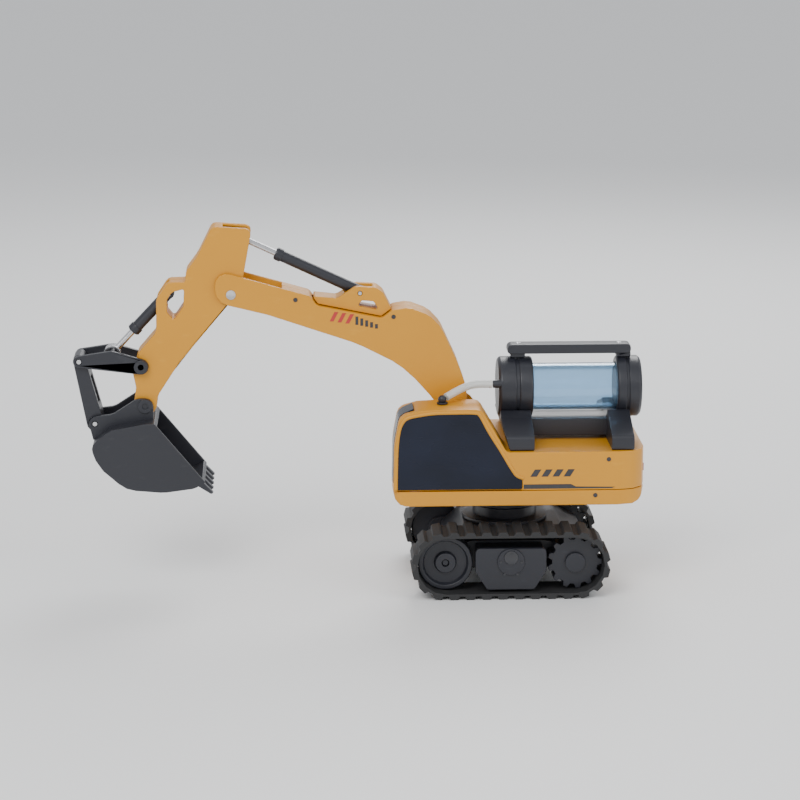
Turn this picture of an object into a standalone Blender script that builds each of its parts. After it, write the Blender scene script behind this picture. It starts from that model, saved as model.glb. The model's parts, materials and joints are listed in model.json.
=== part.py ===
"""Toy excavator with a side-mounted half cab, a liquid tank on the rear deck and an articulated arm.

The machine faces -X and its left side, with the cab, faces -Y. Inside this file every place is
measured from the swing axis at ground level; one parent empty carries the whole machine so that the
world origin lies under the middle of its overall length. All sizes are in metres, +Z is up.
"""

import math

import bmesh
import bpy
from mathutils import Matrix, Vector

for scene_object in list(bpy.data.objects):
    bpy.data.objects.remove(scene_object, do_unlink=True)

# ---------------------------------------------------------------- overall sizes and clearances
GAP = 0.0003                # between pieces that touch
PIN_GAP = 0.0003            # around a pin in its bore
SIDE_GAP = 0.0004           # between cheeks that turn beside each other
WALL = 0.0021               # moulded shell wall

# undercarriage
TRACK_LENGTH = 0.1220
TRACK_HEIGHT = 0.0425
TRACK_WIDTH = 0.0270
TRACK_GAUGE = 0.0880        # between the tracks' centre lines
BELT_THICKNESS = 0.0016
PAD_HEIGHT = 0.0022
PAD_PITCH = 0.0098
PAD_SHARE = 0.70            # of the pitch that one pad covers
WHEEL_WIDTH = 0.0130
AXLE_RADIUS = 0.0015
SPROCKET_TEETH = 13
ROLLER_RADIUS = 0.0042
ROLLER_SPAN_GAP = 0.01144   # from each roller's axis to the wheel beside it
CHASSIS_WIDTH = 0.0580
CHASSIS_FRONT_INSET = 0.00175   # of its front end behind the idlers' axis
CHASSIS_OVERHANG = 0.00825      # of its rear end past the drive axle
CHASSIS_BOTTOM = 0.0150
CHASSIS_TOP = 0.0380
BELLY_THICKNESS = 0.0022

# swing bearing and drive
BASE_BOTTOM = 0.0563
NECK_RADIUS = 0.0220
SPIGOT_RADIUS = 0.0145
SWING_MODULE = 0.0010
SWING_RING_TEETH = 36
SWING_PINION_TEETH = 10
SWING_GEAR_WIDTH = 0.0045

# upper body
BODY_WIDTH = 0.0920
BODY_FRONT = -0.0714
BODY_REAR = 0.0830
BAY_FRONT = -0.0520         # the floor under the boom starts here
DECK_FRONT = -0.0320        # the low right-hand side starts here
BAY_REAR = -0.0120
BAND_TOP = 0.0660
DECK_Z = 0.0898
ROOF_Z = 0.1168
BAND_RADIUS = 0.0080        # lower front and rear corners seen from the side
REAR_RADIUS = 0.0160        # rear corners seen from above

# boom
BOOM_WIDTH = 0.0250
BOOM_WALL = 0.0020
FOOT_X = -0.0335
FOOT_Z = 0.1060
FOOT_SHAFT_RADIUS = 0.0025
CHEEK = 0.0030
BRACKET_WIDTH = 0.0176
BARREL_PIN_X = -0.0904
BARREL_PIN_Z = 0.1820

# stick
STICK_X = -0.1694
STICK_Z = 0.1824
STICK_PIN_RADIUS = 0.0020
STICK_SIDE_GAP = 0.0006
STICK_WALL = 0.0018
STICK_EYE_X = -0.1647
STICK_EYE_Z = 0.2167

# dummy cylinders: barrels on their base pins, rods sliding in them
CYLINDER_RADIUS = 0.0035
ROD_RADIUS = 0.0019
CYLINDER_PIN_RADIUS = 0.0012
EYE_RADIUS = 0.0034
EYE_WIDTH = 0.0084
EYE_SIDE_ROOM = 0.0020
STICK_BARREL_LENGTH = 0.0570
STICK_ROD_LENGTH = 0.0550
BUCKET_BARREL_LENGTH = 0.0330
BUCKET_ROD_LENGTH = 0.0330

# bucket linkage
BUCKET_X = -0.2228
BUCKET_Z = 0.1135
ROCKER_X = -0.2250
ROCKER_Z = 0.1380
ROCKER_END_X = -0.2628
ROCKER_END_Z = 0.1415
LUG_X = -0.2428
LUG_Z = 0.1445
REAR_EAR_X = -0.2538
REAR_EAR_Z = 0.1025
BUCKET_BASE_X = -0.2075
BUCKET_BASE_Z = 0.1820
ARM_PLATE = 0.0030          # rocker cheeks and bucket ears
JOINT_PIN_RADIUS = 0.0015
OPEN_CLEARANCE = 0.0024     # around the pins where the closed linkages are left open
EYE_RIM = 0.0014            # of material round an open pivot
BUCKET_WIDTH = 0.0520
BUCKET_WALL = 0.0022
TOOTH_COUNT = 5
TOOTH_WIDTH = 0.0048
TOOTH_LENGTH = 0.0080

# tank on the rear deck
TANK_LIFT = 0.0312          # of the tank's axis above the deck
TANK_FRONT = -0.0052
TANK_REAR = 0.0835
TANK_CAP_RADIUS = 0.0190
TANK_CAP_LENGTH = 0.0216
TANK_REAR_CAP_LENGTH = 0.0152
TUBE_RADIUS = 0.0147
TUBE_WALL = 0.0015
TUBE_SEAT = 0.0032
FOOT_INSET = 0.0025         # of the cradle's feet from the body's sides
HANDLE_LIFT = 0.0025        # of the handle bar above the caps
HANDLE_HEIGHT = 0.0060
HANDLE_WIDTH = 0.0110
HOSE_RADIUS = 0.0025
NIPPLE_Y = -0.0158
NIPPLE_RISE = 0.0050        # above the tank's axis
NIPPLE_LENGTH = 0.0038

# sizes worked out from those
LINK_TOP_RADIUS = 0.0038
OPEN_BORE = JOINT_PIN_RADIUS + OPEN_CLEARANCE
SWING_X = -(ROCKER_END_X - LINK_TOP_RADIUS + TANK_REAR) / 2      # puts the world origin under the middle
HALF_BODY = BODY_WIDTH / 2
TANK_Z = DECK_Z + TANK_LIFT
HANDLE_Z = TANK_Z + TANK_CAP_RADIUS + HANDLE_LIFT
NIPPLE_Z = TANK_Z + NIPPLE_RISE
FOOT_WIDTH = BODY_WIDTH - 2 * FOOT_INSET
BAND_BOTTOM = BASE_BOTTOM
BOOM_Y = BOOM_WIDTH / 2
BAY_Y = BOOM_Y + SIDE_GAP + CHEEK + GAP
STICK_Y = BOOM_Y - BOOM_WALL - STICK_SIDE_GAP
ARM_Y = STICK_Y + SIDE_GAP
LINK_Y = STICK_Y
AXLE_Z = TRACK_HEIGHT / 2
BELT_OUTER = TRACK_HEIGHT / 2 - PAD_HEIGHT
BELT_INNER = BELT_OUTER - BELT_THICKNESS
BEND_STEPS = 8              # flats in each half turn of the belt
WHEEL_RADIUS = BELT_INNER * math.cos(math.pi / 2 / BEND_STEPS) - GAP
WHEEL_X = TRACK_LENGTH / 2 - TRACK_HEIGHT / 2
ROLLER_X = WHEEL_X - WHEEL_RADIUS - ROLLER_SPAN_GAP
CHASSIS_FRONT = CHASSIS_FRONT_INSET - WHEEL_X
CHASSIS_REAR = WHEEL_X + CHASSIS_OVERHANG
FRAME_INNER_Y = TRACK_GAUGE / 2 - TRACK_WIDTH / 2 + 0.0020
FRAME_OUTER_Y = TRACK_GAUGE / 2 + TRACK_WIDTH / 2 - 0.0030
FRAME_PLATE = 0.0030
SWING_RADIUS = SWING_MODULE * SWING_RING_TEETH / 2
PINION_RADIUS = SWING_MODULE * SWING_PINION_TEETH / 2
PINION_X = SWING_RADIUS + PINION_RADIUS
BASE_FLOOR = BASE_BOTTOM + 0.0024
GEAR_BOTTOM = BASE_FLOOR + GAP

FOOT = (FOOT_X, FOOT_Z)
STICK = (STICK_X, STICK_Z)
BUCKET = (BUCKET_X, BUCKET_Z)
ROCKER = (ROCKER_X, ROCKER_Z)
ROCKER_END = (ROCKER_END_X, ROCKER_END_Z)
LUG = (LUG_X, LUG_Z)
REAR_EAR = (REAR_EAR_X, REAR_EAR_Z)
BARREL_PIN = (BARREL_PIN_X, BARREL_PIN_Z)
STICK_EYE = (STICK_EYE_X, STICK_EYE_Z)
BUCKET_BASE = (BUCKET_BASE_X, BUCKET_BASE_Z)

excavator = bpy.data.collections.new("toy_excavator")
cutters = bpy.data.collections.new("cutters")
bpy.context.scene.collection.children.link(excavator)
bpy.context.scene.collection.children.link(cutters)

machine = bpy.data.objects.new("machine", None)
machine.location = (SWING_X, 0.0, 0.0)
excavator.objects.link(machine)


# ---------------------------------------------------------------- materials
def finish(name, colour, roughness, metallic=0.0, alpha=1.0):
    made = bpy.data.materials.new(name)
    made.use_nodes = True
    shader = made.node_tree.nodes["Principled BSDF"]
    shader.inputs["Base Color"].default_value = (*colour, 1.0)
    shader.inputs["Roughness"].default_value = roughness
    shader.inputs["Metallic"].default_value = metallic
    shader.inputs["Alpha"].default_value = alpha
    return made


orange = finish("orange_plastic", (0.82, 0.36, 0.035), 0.42)
black = finish("black_plastic", (0.022, 0.024, 0.028), 0.48)
gloss = finish("window_black", (0.012, 0.014, 0.022), 0.18)
rubber = finish("track_rubber", (0.018, 0.018, 0.019), 0.75)
steel = finish("pin_steel", (0.55, 0.56, 0.58), 0.35, 1.0)
clear = finish("clear_tube", (0.62, 0.72, 0.82), 0.06, 0.0, 0.35)
hose_clear = finish("hose_translucent", (0.66, 0.70, 0.74), 0.35)
green = finish("board_green", (0.03, 0.20, 0.08), 0.5)
white = finish("gear_nylon", (0.80, 0.79, 0.74), 0.5)
wrap = finish("battery_wrap", (0.05, 0.16, 0.38), 0.4)


# ---------------------------------------------------------------- shape helpers
def hold(mesh, name, as_cutter=False):
    """An object for a mesh, under the machine's parent empty."""
    held = bpy.data.objects.new(name, mesh)
    held.parent = machine
    (cutters if as_cutter else excavator).objects.link(held)
    if as_cutter:
        held.hide_render = True
        held.display_type = "WIRE"
    return held


def snapped(shape, mesh):
    """The shape as a mesh with its points on a 0.1 micrometre grid, so flush faces are truly flush."""
    for vert in shape.verts:
        vert.co = [round(value, 7) for value in vert.co]
    shape.to_mesh(mesh)
    shape.free()
    return mesh


def baked(source):
    """The evaluated shape of a curve or a turned profile, as a plain mesh in the machine's frame."""
    bpy.context.view_layer.update()
    graph = bpy.context.evaluated_depsgraph_get()
    mesh = bpy.data.meshes.new_from_object(source.evaluated_get(graph))
    mesh.transform(source.matrix_world)
    shape = bmesh.new()
    shape.from_mesh(mesh)
    bmesh.ops.remove_doubles(shape, verts=shape.verts, dist=1e-7)
    bmesh.ops.dissolve_limit(shape, angle_limit=math.radians(0.2), verts=shape.verts, edges=shape.edges)
    bmesh.ops.recalc_face_normals(shape, faces=shape.faces)
    bpy.data.objects.remove(source, do_unlink=True)
    return snapped(shape, mesh)


def block(low, high):
    """A box between two corners."""
    size = Vector(high) - Vector(low)
    middle = (Vector(high) + Vector(low)) / 2
    shape = bmesh.new()
    bmesh.ops.create_cube(
        shape, size=1.0, matrix=Matrix.Translation(middle) @ Matrix.Diagonal((*size, 1.0)),
    )
    return snapped(shape, bpy.data.meshes.new("block"))


def rod_between(start, end, radius, end_radius=None, segments=16):
    """A cylinder or a cone between two points."""
    start = Vector(start)
    along = Vector(end) - start
    turn = along.to_track_quat("Z", "Y").to_matrix().to_4x4()
    shape = bmesh.new()
    bmesh.ops.create_cone(
        shape,
        cap_ends=True,
        segments=segments,
        radius1=radius,
        radius2=radius if end_radius is None else end_radius,
        depth=along.length,
        matrix=Matrix.Translation(start + along / 2) @ turn,
    )
    return snapped(shape, bpy.data.meshes.new("rod"))


def ball(centre, radius, segments=12):
    shape = bmesh.new()
    bmesh.ops.create_uvsphere(
        shape, u_segments=segments, v_segments=segments // 2, radius=radius,
        matrix=Matrix.Translation(centre)
    )
    return snapped(shape, bpy.data.meshes.new("ball"))


def rounded(corners, steps=3):
    """An outline from (a, b, radius) corners, each turned as an arc that its two sides can hold."""
    points = []
    count = len(corners)
    for index, corner in enumerate(corners):
        here = Vector(corner[:2])
        radius = corner[2] if len(corner) > 2 else 0.0
        back = Vector(corners[index - 1][:2]) - here
        ahead = Vector(corners[(index + 1) % count][:2]) - here
        turn = back.angle(ahead)
        if radius <= 0.0 or turn > math.radians(179.5):
            points.append(here)
            continue
        reach = min(radius / math.tan(turn / 2), 0.48 * back.length, 0.48 * ahead.length)
        radius = reach * math.tan(turn / 2)
        middle = (back.normalized() + ahead.normalized()).normalized()
        centre = here + middle * (radius / math.sin(turn / 2))
        first = here + back.normalized() * reach - centre
        last = here + ahead.normalized() * reach - centre
        sweep = first.angle_signed(last)
        arcs = max(1, round(steps * abs(sweep) / (math.pi / 2)))
        for step in range(arcs + 1):
            angle = -sweep * step / arcs
            cos, sin = math.cos(angle), math.sin(angle)
            points.append(centre + Vector((first.x * cos - first.y * sin, first.x * sin + first.y * cos)))
    return points


def circle(centre, radius, count=20):
    return [
        Vector(
            (
                centre[0] + radius * math.cos(math.tau * i / count),
                centre[1] + radius * math.sin(math.tau * i / count),
            ),
        )
        for i in range(count)
    ]


PLANES = {
    "XZ": Matrix(((1, 0, 0, 0), (0, 0, -1, 0), (0, 1, 0, 0), (0, 0, 0, 1))),
    "XY": Matrix.Identity(4),
    "YZ": Matrix(((0, 0, 1, 0), (1, 0, 0, 0), (0, 1, 0, 0), (0, 0, 0, 1))),
}


def slab(outline, plane, low, high, holes=()):
    """A flat outline with optional holes, extruded across its plane from low to high."""
    curve = bpy.data.curves.new("outline", "CURVE")
    curve.dimensions = "2D"
    curve.fill_mode = "BOTH"
    curve.extrude = (high - low) / 2
    for ring in (outline, *holes):
        spline = curve.splines.new("POLY")
        spline.points.add(len(ring) - 1)
        for point, place in zip(spline.points, ring):
            point.co = (place[0], place[1], 0.0, 1.0)
        spline.use_cyclic_u = True
    source = bpy.data.objects.new("outline", curve)
    bpy.context.scene.collection.objects.link(source)
    middle = (low + high) / 2
    across = -middle if plane == "XZ" else middle
    source.matrix_world = PLANES[plane] @ Matrix.Translation((0, 0, across))
    return baked(source)


def turned(profile, centre, axis="Z", steps=24, ring=False):
    """A profile of (radius, height) points turned about an axis through the centre."""
    shape = bmesh.new()
    verts = [shape.verts.new((radius, 0.0, height)) for radius, height in profile]
    for first, second in zip(verts, verts[1:]):
        shape.edges.new((first, second))
    if ring:
        shape.edges.new((verts[-1], verts[0]))
    mesh = bpy.data.meshes.new("profile")
    shape.to_mesh(mesh)
    shape.free()
    source = bpy.data.objects.new("profile", mesh)
    bpy.context.scene.collection.objects.link(source)
    screw = source.modifiers.new("turn", "SCREW")
    screw.axis = "Z"
    screw.angle = math.tau
    screw.steps = steps
    screw.render_steps = steps
    screw.use_merge_vertices = True
    screw.merge_threshold = 0.00001
    turns = {
        "Z": Matrix.Identity(4), "Y": Matrix.Rotation(-math.pi / 2, 4, "X"),
        "X": Matrix.Rotation(math.pi / 2, 4, "Y"),
    }
    source.matrix_world = Matrix.Translation(centre) @ turns[axis]
    return baked(source)


def change(target, operation, tools):
    for tool in tools:
        held = hold(
            tool, target.name + "_" + operation.lower(), as_cutter=True,
        ) if not hasattr(tool, "modifiers") else tool
        modifier = target.modifiers.new(operation.lower(), "BOOLEAN")
        modifier.operation = operation
        modifier.solver = "EXACT"
        modifier.object = held


def cut(target, *tools):
    change(target, "DIFFERENCE", tools)


def join(target, *tools):
    change(target, "UNION", tools)


def part(name, mesh, material, pivot=None):
    """One piece of the machine, with its origin on the axis it turns about."""
    made = hold(mesh, name)
    mesh.name = name
    mesh.materials.clear()
    mesh.materials.append(material)
    if pivot is not None:
        mesh.transform(Matrix.Translation(-Vector(pivot)))
        made.location = pivot
    mesh.shade_smooth()
    mesh.set_sharp_from_angle(angle=math.radians(35))
    return made


def pin(name, place, half_width, radius):
    """A steel pin across the arm at an (x, z) place."""
    x, z = place
    part(name, rod_between((x, -half_width, z), (x, half_width, z), radius, segments=12), steel, at(place))


def bore(place, radius, half_width=0.05, segments=12):
    """A cutter across the arm at an (x, z) place."""
    x, z = place
    return rod_between((x, -half_width, z), (x, half_width, z), radius, segments=segments)


def at(place):
    """The pivot of a joint across the arm."""
    return (place[0], 0.0, place[1])


# ---------------------------------------------------------------- undercarriage
def mirrored(span, side):
    """A span of Y on the right side, or its mirror on the left."""
    low, high = span
    return (low, high) if side > 0 else (-high, -low)


def stadium(half_length, radius, steps=BEND_STEPS):
    """The loop round two equal wheels, about the axle height."""
    points = []
    for end in (1, -1):
        for step in range(steps + 1):
            angle = -math.pi / 2 + math.pi * step / steps + (0 if end > 0 else math.pi)
            points.append(
                Vector((end * half_length + radius * math.cos(angle), AXLE_Z + radius * math.sin(angle))),
            )
    return points


def on_loop(distance, radius, lift):
    """A point at a distance along the belt's outer loop, lifted off it."""
    straight = 2 * WHEEL_X
    arc = math.pi * radius
    distance %= 2 * (straight + arc)
    turn = 0.0
    if distance >= straight + arc:
        distance -= straight + arc
        turn = math.pi
    if distance < straight:
        place = Vector((-WHEEL_X + distance, -(radius + lift)))
    else:
        angle = -math.pi / 2 + (distance - straight) / radius
        place = Vector((WHEEL_X + (radius + lift) * math.cos(angle), (radius + lift) * math.sin(angle)))
    cos, sin = math.cos(turn), math.sin(turn)
    return Vector((place.x * cos - place.y * sin, place.x * sin + place.y * cos + AXLE_Z))


def track_belt(side, name):
    """A rubber belt with bar-shaped pads, held in its running shape."""
    loop = 4 * WHEEL_X + math.tau * BELT_OUTER
    pads = round(loop / PAD_PITCH)
    pitch = loop / pads
    outline = []
    for index in range(pads):
        foot = pitch * PAD_SHARE / 2
        tip = foot - 0.12 * pitch
        middle = pitch * (index + 0.5)
        outline.append(on_loop(middle - foot, BELT_OUTER, 0.0))
        outline.append(on_loop(middle - tip, BELT_OUTER, PAD_HEIGHT))
        outline.append(on_loop(middle + tip, BELT_OUTER, PAD_HEIGHT))
        outline.append(on_loop(middle + foot, BELT_OUTER, 0.0))
    span = mirrored((TRACK_GAUGE / 2 - TRACK_WIDTH / 2, TRACK_GAUGE / 2 + TRACK_WIDTH / 2), side)
    return part(name, slab(outline, "XZ", *span, holes=[stadium(WHEEL_X, BELT_INNER)]), rubber)


def gear_outline(teeth, tip, root, centre=(0.0, 0.0), start=0.0, tip_share=0.24, root_share=0.56):
    """Straight-sided teeth; start turns the first tooth from the first axis, in teeth."""
    points = []
    for index in range(teeth):
        for radius, offset in (
            (root, -root_share / 2), (tip, -tip_share / 2), (tip, tip_share / 2), (root, root_share / 2),
        ):
            angle = math.tau * (index + start + offset) / teeth
            points.append(
                Vector((centre[0] + radius * math.cos(angle), centre[1] + radius * math.sin(angle))),
            )
    return points


WHEEL_Y = FRAME_INNER_Y + FRAME_PLATE + SIDE_GAP
HUB_RADIUS = 0.0062
ROLLER_Z = TRACK_HEIGHT / 2 - BELT_INNER + GAP + ROLLER_RADIUS
STUB_RADIUS = 0.0020
ROLLER_STUB = 0.0014


def drive_sprocket(side, name):
    """The toothed rear wheel, with a round hub cap on its outer face and a blind bore for the axle."""
    low, high = mirrored((WHEEL_Y, WHEEL_Y + WHEEL_WIDTH), side)
    outline = gear_outline(
        SPROCKET_TEETH, WHEEL_RADIUS, WHEEL_RADIUS - 0.0026, (WHEEL_X, AXLE_Z), tip_share=0.34,
        root_share=0.66
    )
    made = part(name, slab(outline, "XZ", low, high), black, (WHEEL_X, side * WHEEL_Y, AXLE_Z))
    outer = side * (WHEEL_Y + WHEEL_WIDTH)
    join(
        made,
        rod_between(
            (WHEEL_X, outer - side * 0.001, AXLE_Z), (WHEEL_X, outer + side * 0.0022, AXLE_Z), HUB_RADIUS,
        ),
    )
    blind = rod_between(
        (WHEEL_X, side * (WHEEL_Y - 0.001), AXLE_Z),
        (WHEEL_X, outer - side * 0.002, AXLE_Z),
        AXLE_RADIUS + PIN_GAP,
        segments=14,
    )
    cut(made, blind)


def idler_wheel(side, name):
    """The smooth front wheel, dished on its outer face, turning on a stub of the track frame."""
    profile = [
        (STUB_RADIUS + PIN_GAP, WHEEL_WIDTH),
        (HUB_RADIUS, WHEEL_WIDTH),
        (HUB_RADIUS + 0.0008, WHEEL_WIDTH - 0.0030),
        (WHEEL_RADIUS - 0.0038, WHEEL_WIDTH - 0.0030),
        (WHEEL_RADIUS - 0.0028, WHEEL_WIDTH),
        (WHEEL_RADIUS - 0.0004, WHEEL_WIDTH),
        (WHEEL_RADIUS, WHEEL_WIDTH - 0.0004),
        (WHEEL_RADIUS, 0.0004),
        (WHEEL_RADIUS - 0.0004, 0.0),
        (STUB_RADIUS + PIN_GAP, 0.0),
    ]
    mesh = turned(profile, (0, 0, 0), "Y", ring=True)
    if side < 0:
        mesh.transform(Matrix.Rotation(math.pi, 4, "Z"))
    mesh.transform(Matrix.Translation((-WHEEL_X, side * WHEEL_Y, AXLE_Z)))
    part(name, mesh, black, (-WHEEL_X, side * WHEEL_Y, AXLE_Z))


def track_roller(side, x, name):
    """A bottom roller with its own stub ends in the frame's two flanges."""
    inner = FRAME_INNER_Y + FRAME_PLATE + SIDE_GAP
    outer = FRAME_OUTER_Y - FRAME_PLATE - SIDE_GAP
    made = part(
        name,
        rod_between((x, side * inner, ROLLER_Z), (x, side * outer, ROLLER_Z), ROLLER_RADIUS),
        black,
        (x, side * TRACK_GAUGE / 2, ROLLER_Z),
    )
    stub = FRAME_PLATE * 0.8 + SIDE_GAP
    ends = ((x, side * (inner - stub), ROLLER_Z), (x, side * (outer + stub), ROLLER_Z))
    join(made, rod_between(*ends, ROLLER_STUB, segments=14))


def track_frame(side, name):
    """The side frame inside the belt: two flanges, a top web, a round hub and a stub for the idler."""
    inner_span = mirrored((FRAME_INNER_Y, FRAME_INNER_Y + FRAME_PLATE), side)
    outer_span = mirrored((FRAME_OUTER_Y - FRAME_PLATE, FRAME_OUTER_Y), side)
    web_span = mirrored((FRAME_INNER_Y + 0.001, FRAME_OUTER_Y - 0.001), side)
    beam = WHEEL_X - WHEEL_RADIUS - 0.0012
    lobe = ROLLER_Z - 0.0028
    arm = 0.0062
    inner = rounded([
        (-WHEEL_X - arm, AXLE_Z - arm, arm), (-ROLLER_X - 0.008, AXLE_Z - arm + 0.0008, 0.002),
        (-ROLLER_X - 0.003, lobe, 0.002),
        (ROLLER_X + 0.003, lobe, 0.002), (ROLLER_X + 0.008, AXLE_Z - arm + 0.0008, 0.002),
        (WHEEL_X + arm, AXLE_Z - arm, arm),
        (WHEEL_X + arm, AXLE_Z + arm, arm), (beam, AXLE_Z + 0.0105, 0.004), (-beam, AXLE_Z + 0.0105, 0.004),
        (-WHEEL_X - arm, AXLE_Z + arm, arm),
    ])
    outer = rounded([
        (-beam, AXLE_Z - 0.004, 0.002), (-ROLLER_X - 0.003, lobe, 0.002), (ROLLER_X + 0.003, lobe, 0.002),
        (beam, AXLE_Z - 0.004, 0.002), (beam, AXLE_Z + 0.0105, 0.003), (-beam, AXLE_Z + 0.0105, 0.003),
    ])
    made = part(name, slab(inner, "XZ", *inner_span), black)
    web_low = ROLLER_Z + ROLLER_RADIUS + 0.0015
    web = block((0.0012 - beam, web_span[0], web_low), (beam - 0.0012, web_span[1], AXLE_Z + 0.0090))
    hub = rod_between(
        (0, side * (FRAME_OUTER_Y - 0.001), AXLE_Z + 0.002),
        (0, side * (FRAME_OUTER_Y + 0.0012), AXLE_Z + 0.002), 0.0085,
    )
    stub_end = side * (WHEEL_Y + WHEEL_WIDTH - 0.001)
    stub = rod_between(
        (-WHEEL_X, side * (FRAME_INNER_Y + 0.001), AXLE_Z), (-WHEEL_X, stub_end, AXLE_Z), STUB_RADIUS,
    )
    join(made, web, slab(outer, "XZ", *outer_span), hub, stub)
    for x in (-ROLLER_X, ROLLER_X):
        seat = (
            (x, side * (FRAME_INNER_Y + 0.0003), ROLLER_Z), (x, side * (FRAME_OUTER_Y - 0.0003), ROLLER_Z),
        )
        cut(made, rod_between(*seat, ROLLER_STUB + PIN_GAP, segments=14))
    axle = (
        (WHEEL_X, side * (FRAME_INNER_Y - 0.01), AXLE_Z), (WHEEL_X, side * (FRAME_INNER_Y + 0.01), AXLE_Z),
    )
    cut(made, rod_between(*axle, AXLE_RADIUS + PIN_GAP, segments=14))


def undercarriage():
    """Chassis box with its belly cover, two tracks with their wheels, two drive units and the battery."""
    front_edge, rear_edge = CHASSIS_TOP - 0.0100, CHASSIS_TOP - 0.0070
    slope_front, slope_rear = CHASSIS_FRONT + 0.0110, CHASSIS_REAR - 0.0150
    profile = [
        (CHASSIS_FRONT, CHASSIS_BOTTOM, 0.0), (CHASSIS_REAR, CHASSIS_BOTTOM, 0.0),
        (CHASSIS_REAR, rear_edge, 0.002),
        (slope_rear, CHASSIS_TOP, 0.002), (slope_front, CHASSIS_TOP, 0.002),
        (CHASSIS_FRONT, front_edge, 0.002),
    ]
    inside = [
        (CHASSIS_FRONT + WALL, CHASSIS_BOTTOM - 0.001, 0.0),
        (CHASSIS_REAR - WALL, CHASSIS_BOTTOM - 0.001, 0.0),
        (CHASSIS_REAR - WALL, rear_edge - 0.6 * WALL, 0.001),
        (slope_rear - 0.3 * WALL, CHASSIS_TOP - WALL, 0.001),
        (slope_front + 0.3 * WALL, CHASSIS_TOP - WALL, 0.001),
        (CHASSIS_FRONT + WALL, front_edge - 0.6 * WALL, 0.001),
    ]
    half = CHASSIS_WIDTH / 2
    chassis = part("chassis_frame", slab(rounded(profile), "XZ", -half, half), black)
    for side in (-1, 1):
        low, high = mirrored((half - 0.001, FRAME_INNER_Y - GAP), side)
        join(chassis, block((-0.0180, low, CHASSIS_BOTTOM + 0.0010), (0.0180, high, AXLE_Z + 0.0090)))
    cut(chassis, slab(rounded(inside), "XZ", -half + WALL, half - WALL))
    axle_hole = ((WHEEL_X, -half - 0.01, AXLE_Z), (WHEEL_X, half + 0.01, AXLE_Z))
    cut(chassis, rod_between(*axle_hole, AXLE_RADIUS + PIN_GAP, segments=14))
    cut(chassis, rod_between((0, 0, CHASSIS_TOP - 0.01), (0, 0, CHASSIS_TOP + 0.01), 0.0050))

    belly_top = CHASSIS_BOTTOM - GAP
    belly = part(
        "belly_cover",
        block((CHASSIS_FRONT, -half, belly_top - BELLY_THICKNESS), (CHASSIS_REAR, half, belly_top)),
        black,
    )
    switch_x = 0.0100
    cut(
        belly,
        block((switch_x - 0.0045, -0.0020, 0.0), (switch_x + 0.0045, 0.0020, CHASSIS_BOTTOM + 0.001)),
    )
    switch = part(
        "power_switch",
        block(
            (switch_x - 0.0042, -0.0017, belly_top - BELLY_THICKNESS + 0.0004),
            (switch_x, 0.0017, belly_top + 0.0020),
        ),
        orange,
        (switch_x, 0.0, belly_top),
    )
    join(
        switch,
        block(
            (switch_x - 0.0060, -0.0030, belly_top + GAP), (switch_x + 0.0018, 0.0030, belly_top + 0.0020),
        ),
    )

    part(
        "battery_pack",
        block(
            (CHASSIS_FRONT + WALL + 0.001, -0.0235, CHASSIS_BOTTOM),
            (-0.0010, 0.0235, CHASSIS_BOTTOM + 0.0125),
        ),
        wrap,
    )

    for side, word in ((-1, "left"), (1, "right")):
        track_belt(side, f"track_belt_{word}")
        track_frame(side, f"track_frame_{word}")
        drive_sprocket(side, f"drive_sprocket_{word}")
        idler_wheel(side, f"idler_wheel_{word}")
        for place, x in (("front", -ROLLER_X), ("rear", ROLLER_X)):
            track_roller(side, x, f"track_roller_{word}_{place}")
        inner_end = half - WALL - 0.0060
        outer_end = WHEEL_Y + WHEEL_WIDTH - 0.0024
        part(
            f"drive_axle_{word}",
            rod_between(
                (WHEEL_X, side * inner_end, AXLE_Z), (WHEEL_X, side * outer_end, AXLE_Z), AXLE_RADIUS,
                segments=14,
            ),
            steel,
            (WHEEL_X, side * WHEEL_Y, AXLE_Z),
        )
        low, high = mirrored((0.0030, half - WALL - GAP), side)
        gearbox = part(
            f"drive_gearbox_{word}",
            block((WHEEL_X - 0.0120, low, AXLE_Z - 0.0055), (WHEEL_X + 0.0058, high, AXLE_Z + 0.0055)),
            white,
        )
        join(
            gearbox,
            rod_between(
                (WHEEL_X - 0.0370, side * 0.0135, AXLE_Z), (WHEEL_X - 0.0110, side * 0.0135, AXLE_Z),
                0.0052,
            ),
        )
        seat = ((WHEEL_X, side * (inner_end - 0.0006), AXLE_Z), (WHEEL_X, side * (half + 0.001), AXLE_Z))
        cut(gearbox, rod_between(*seat, AXLE_RADIUS + PIN_GAP, segments=14))


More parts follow.
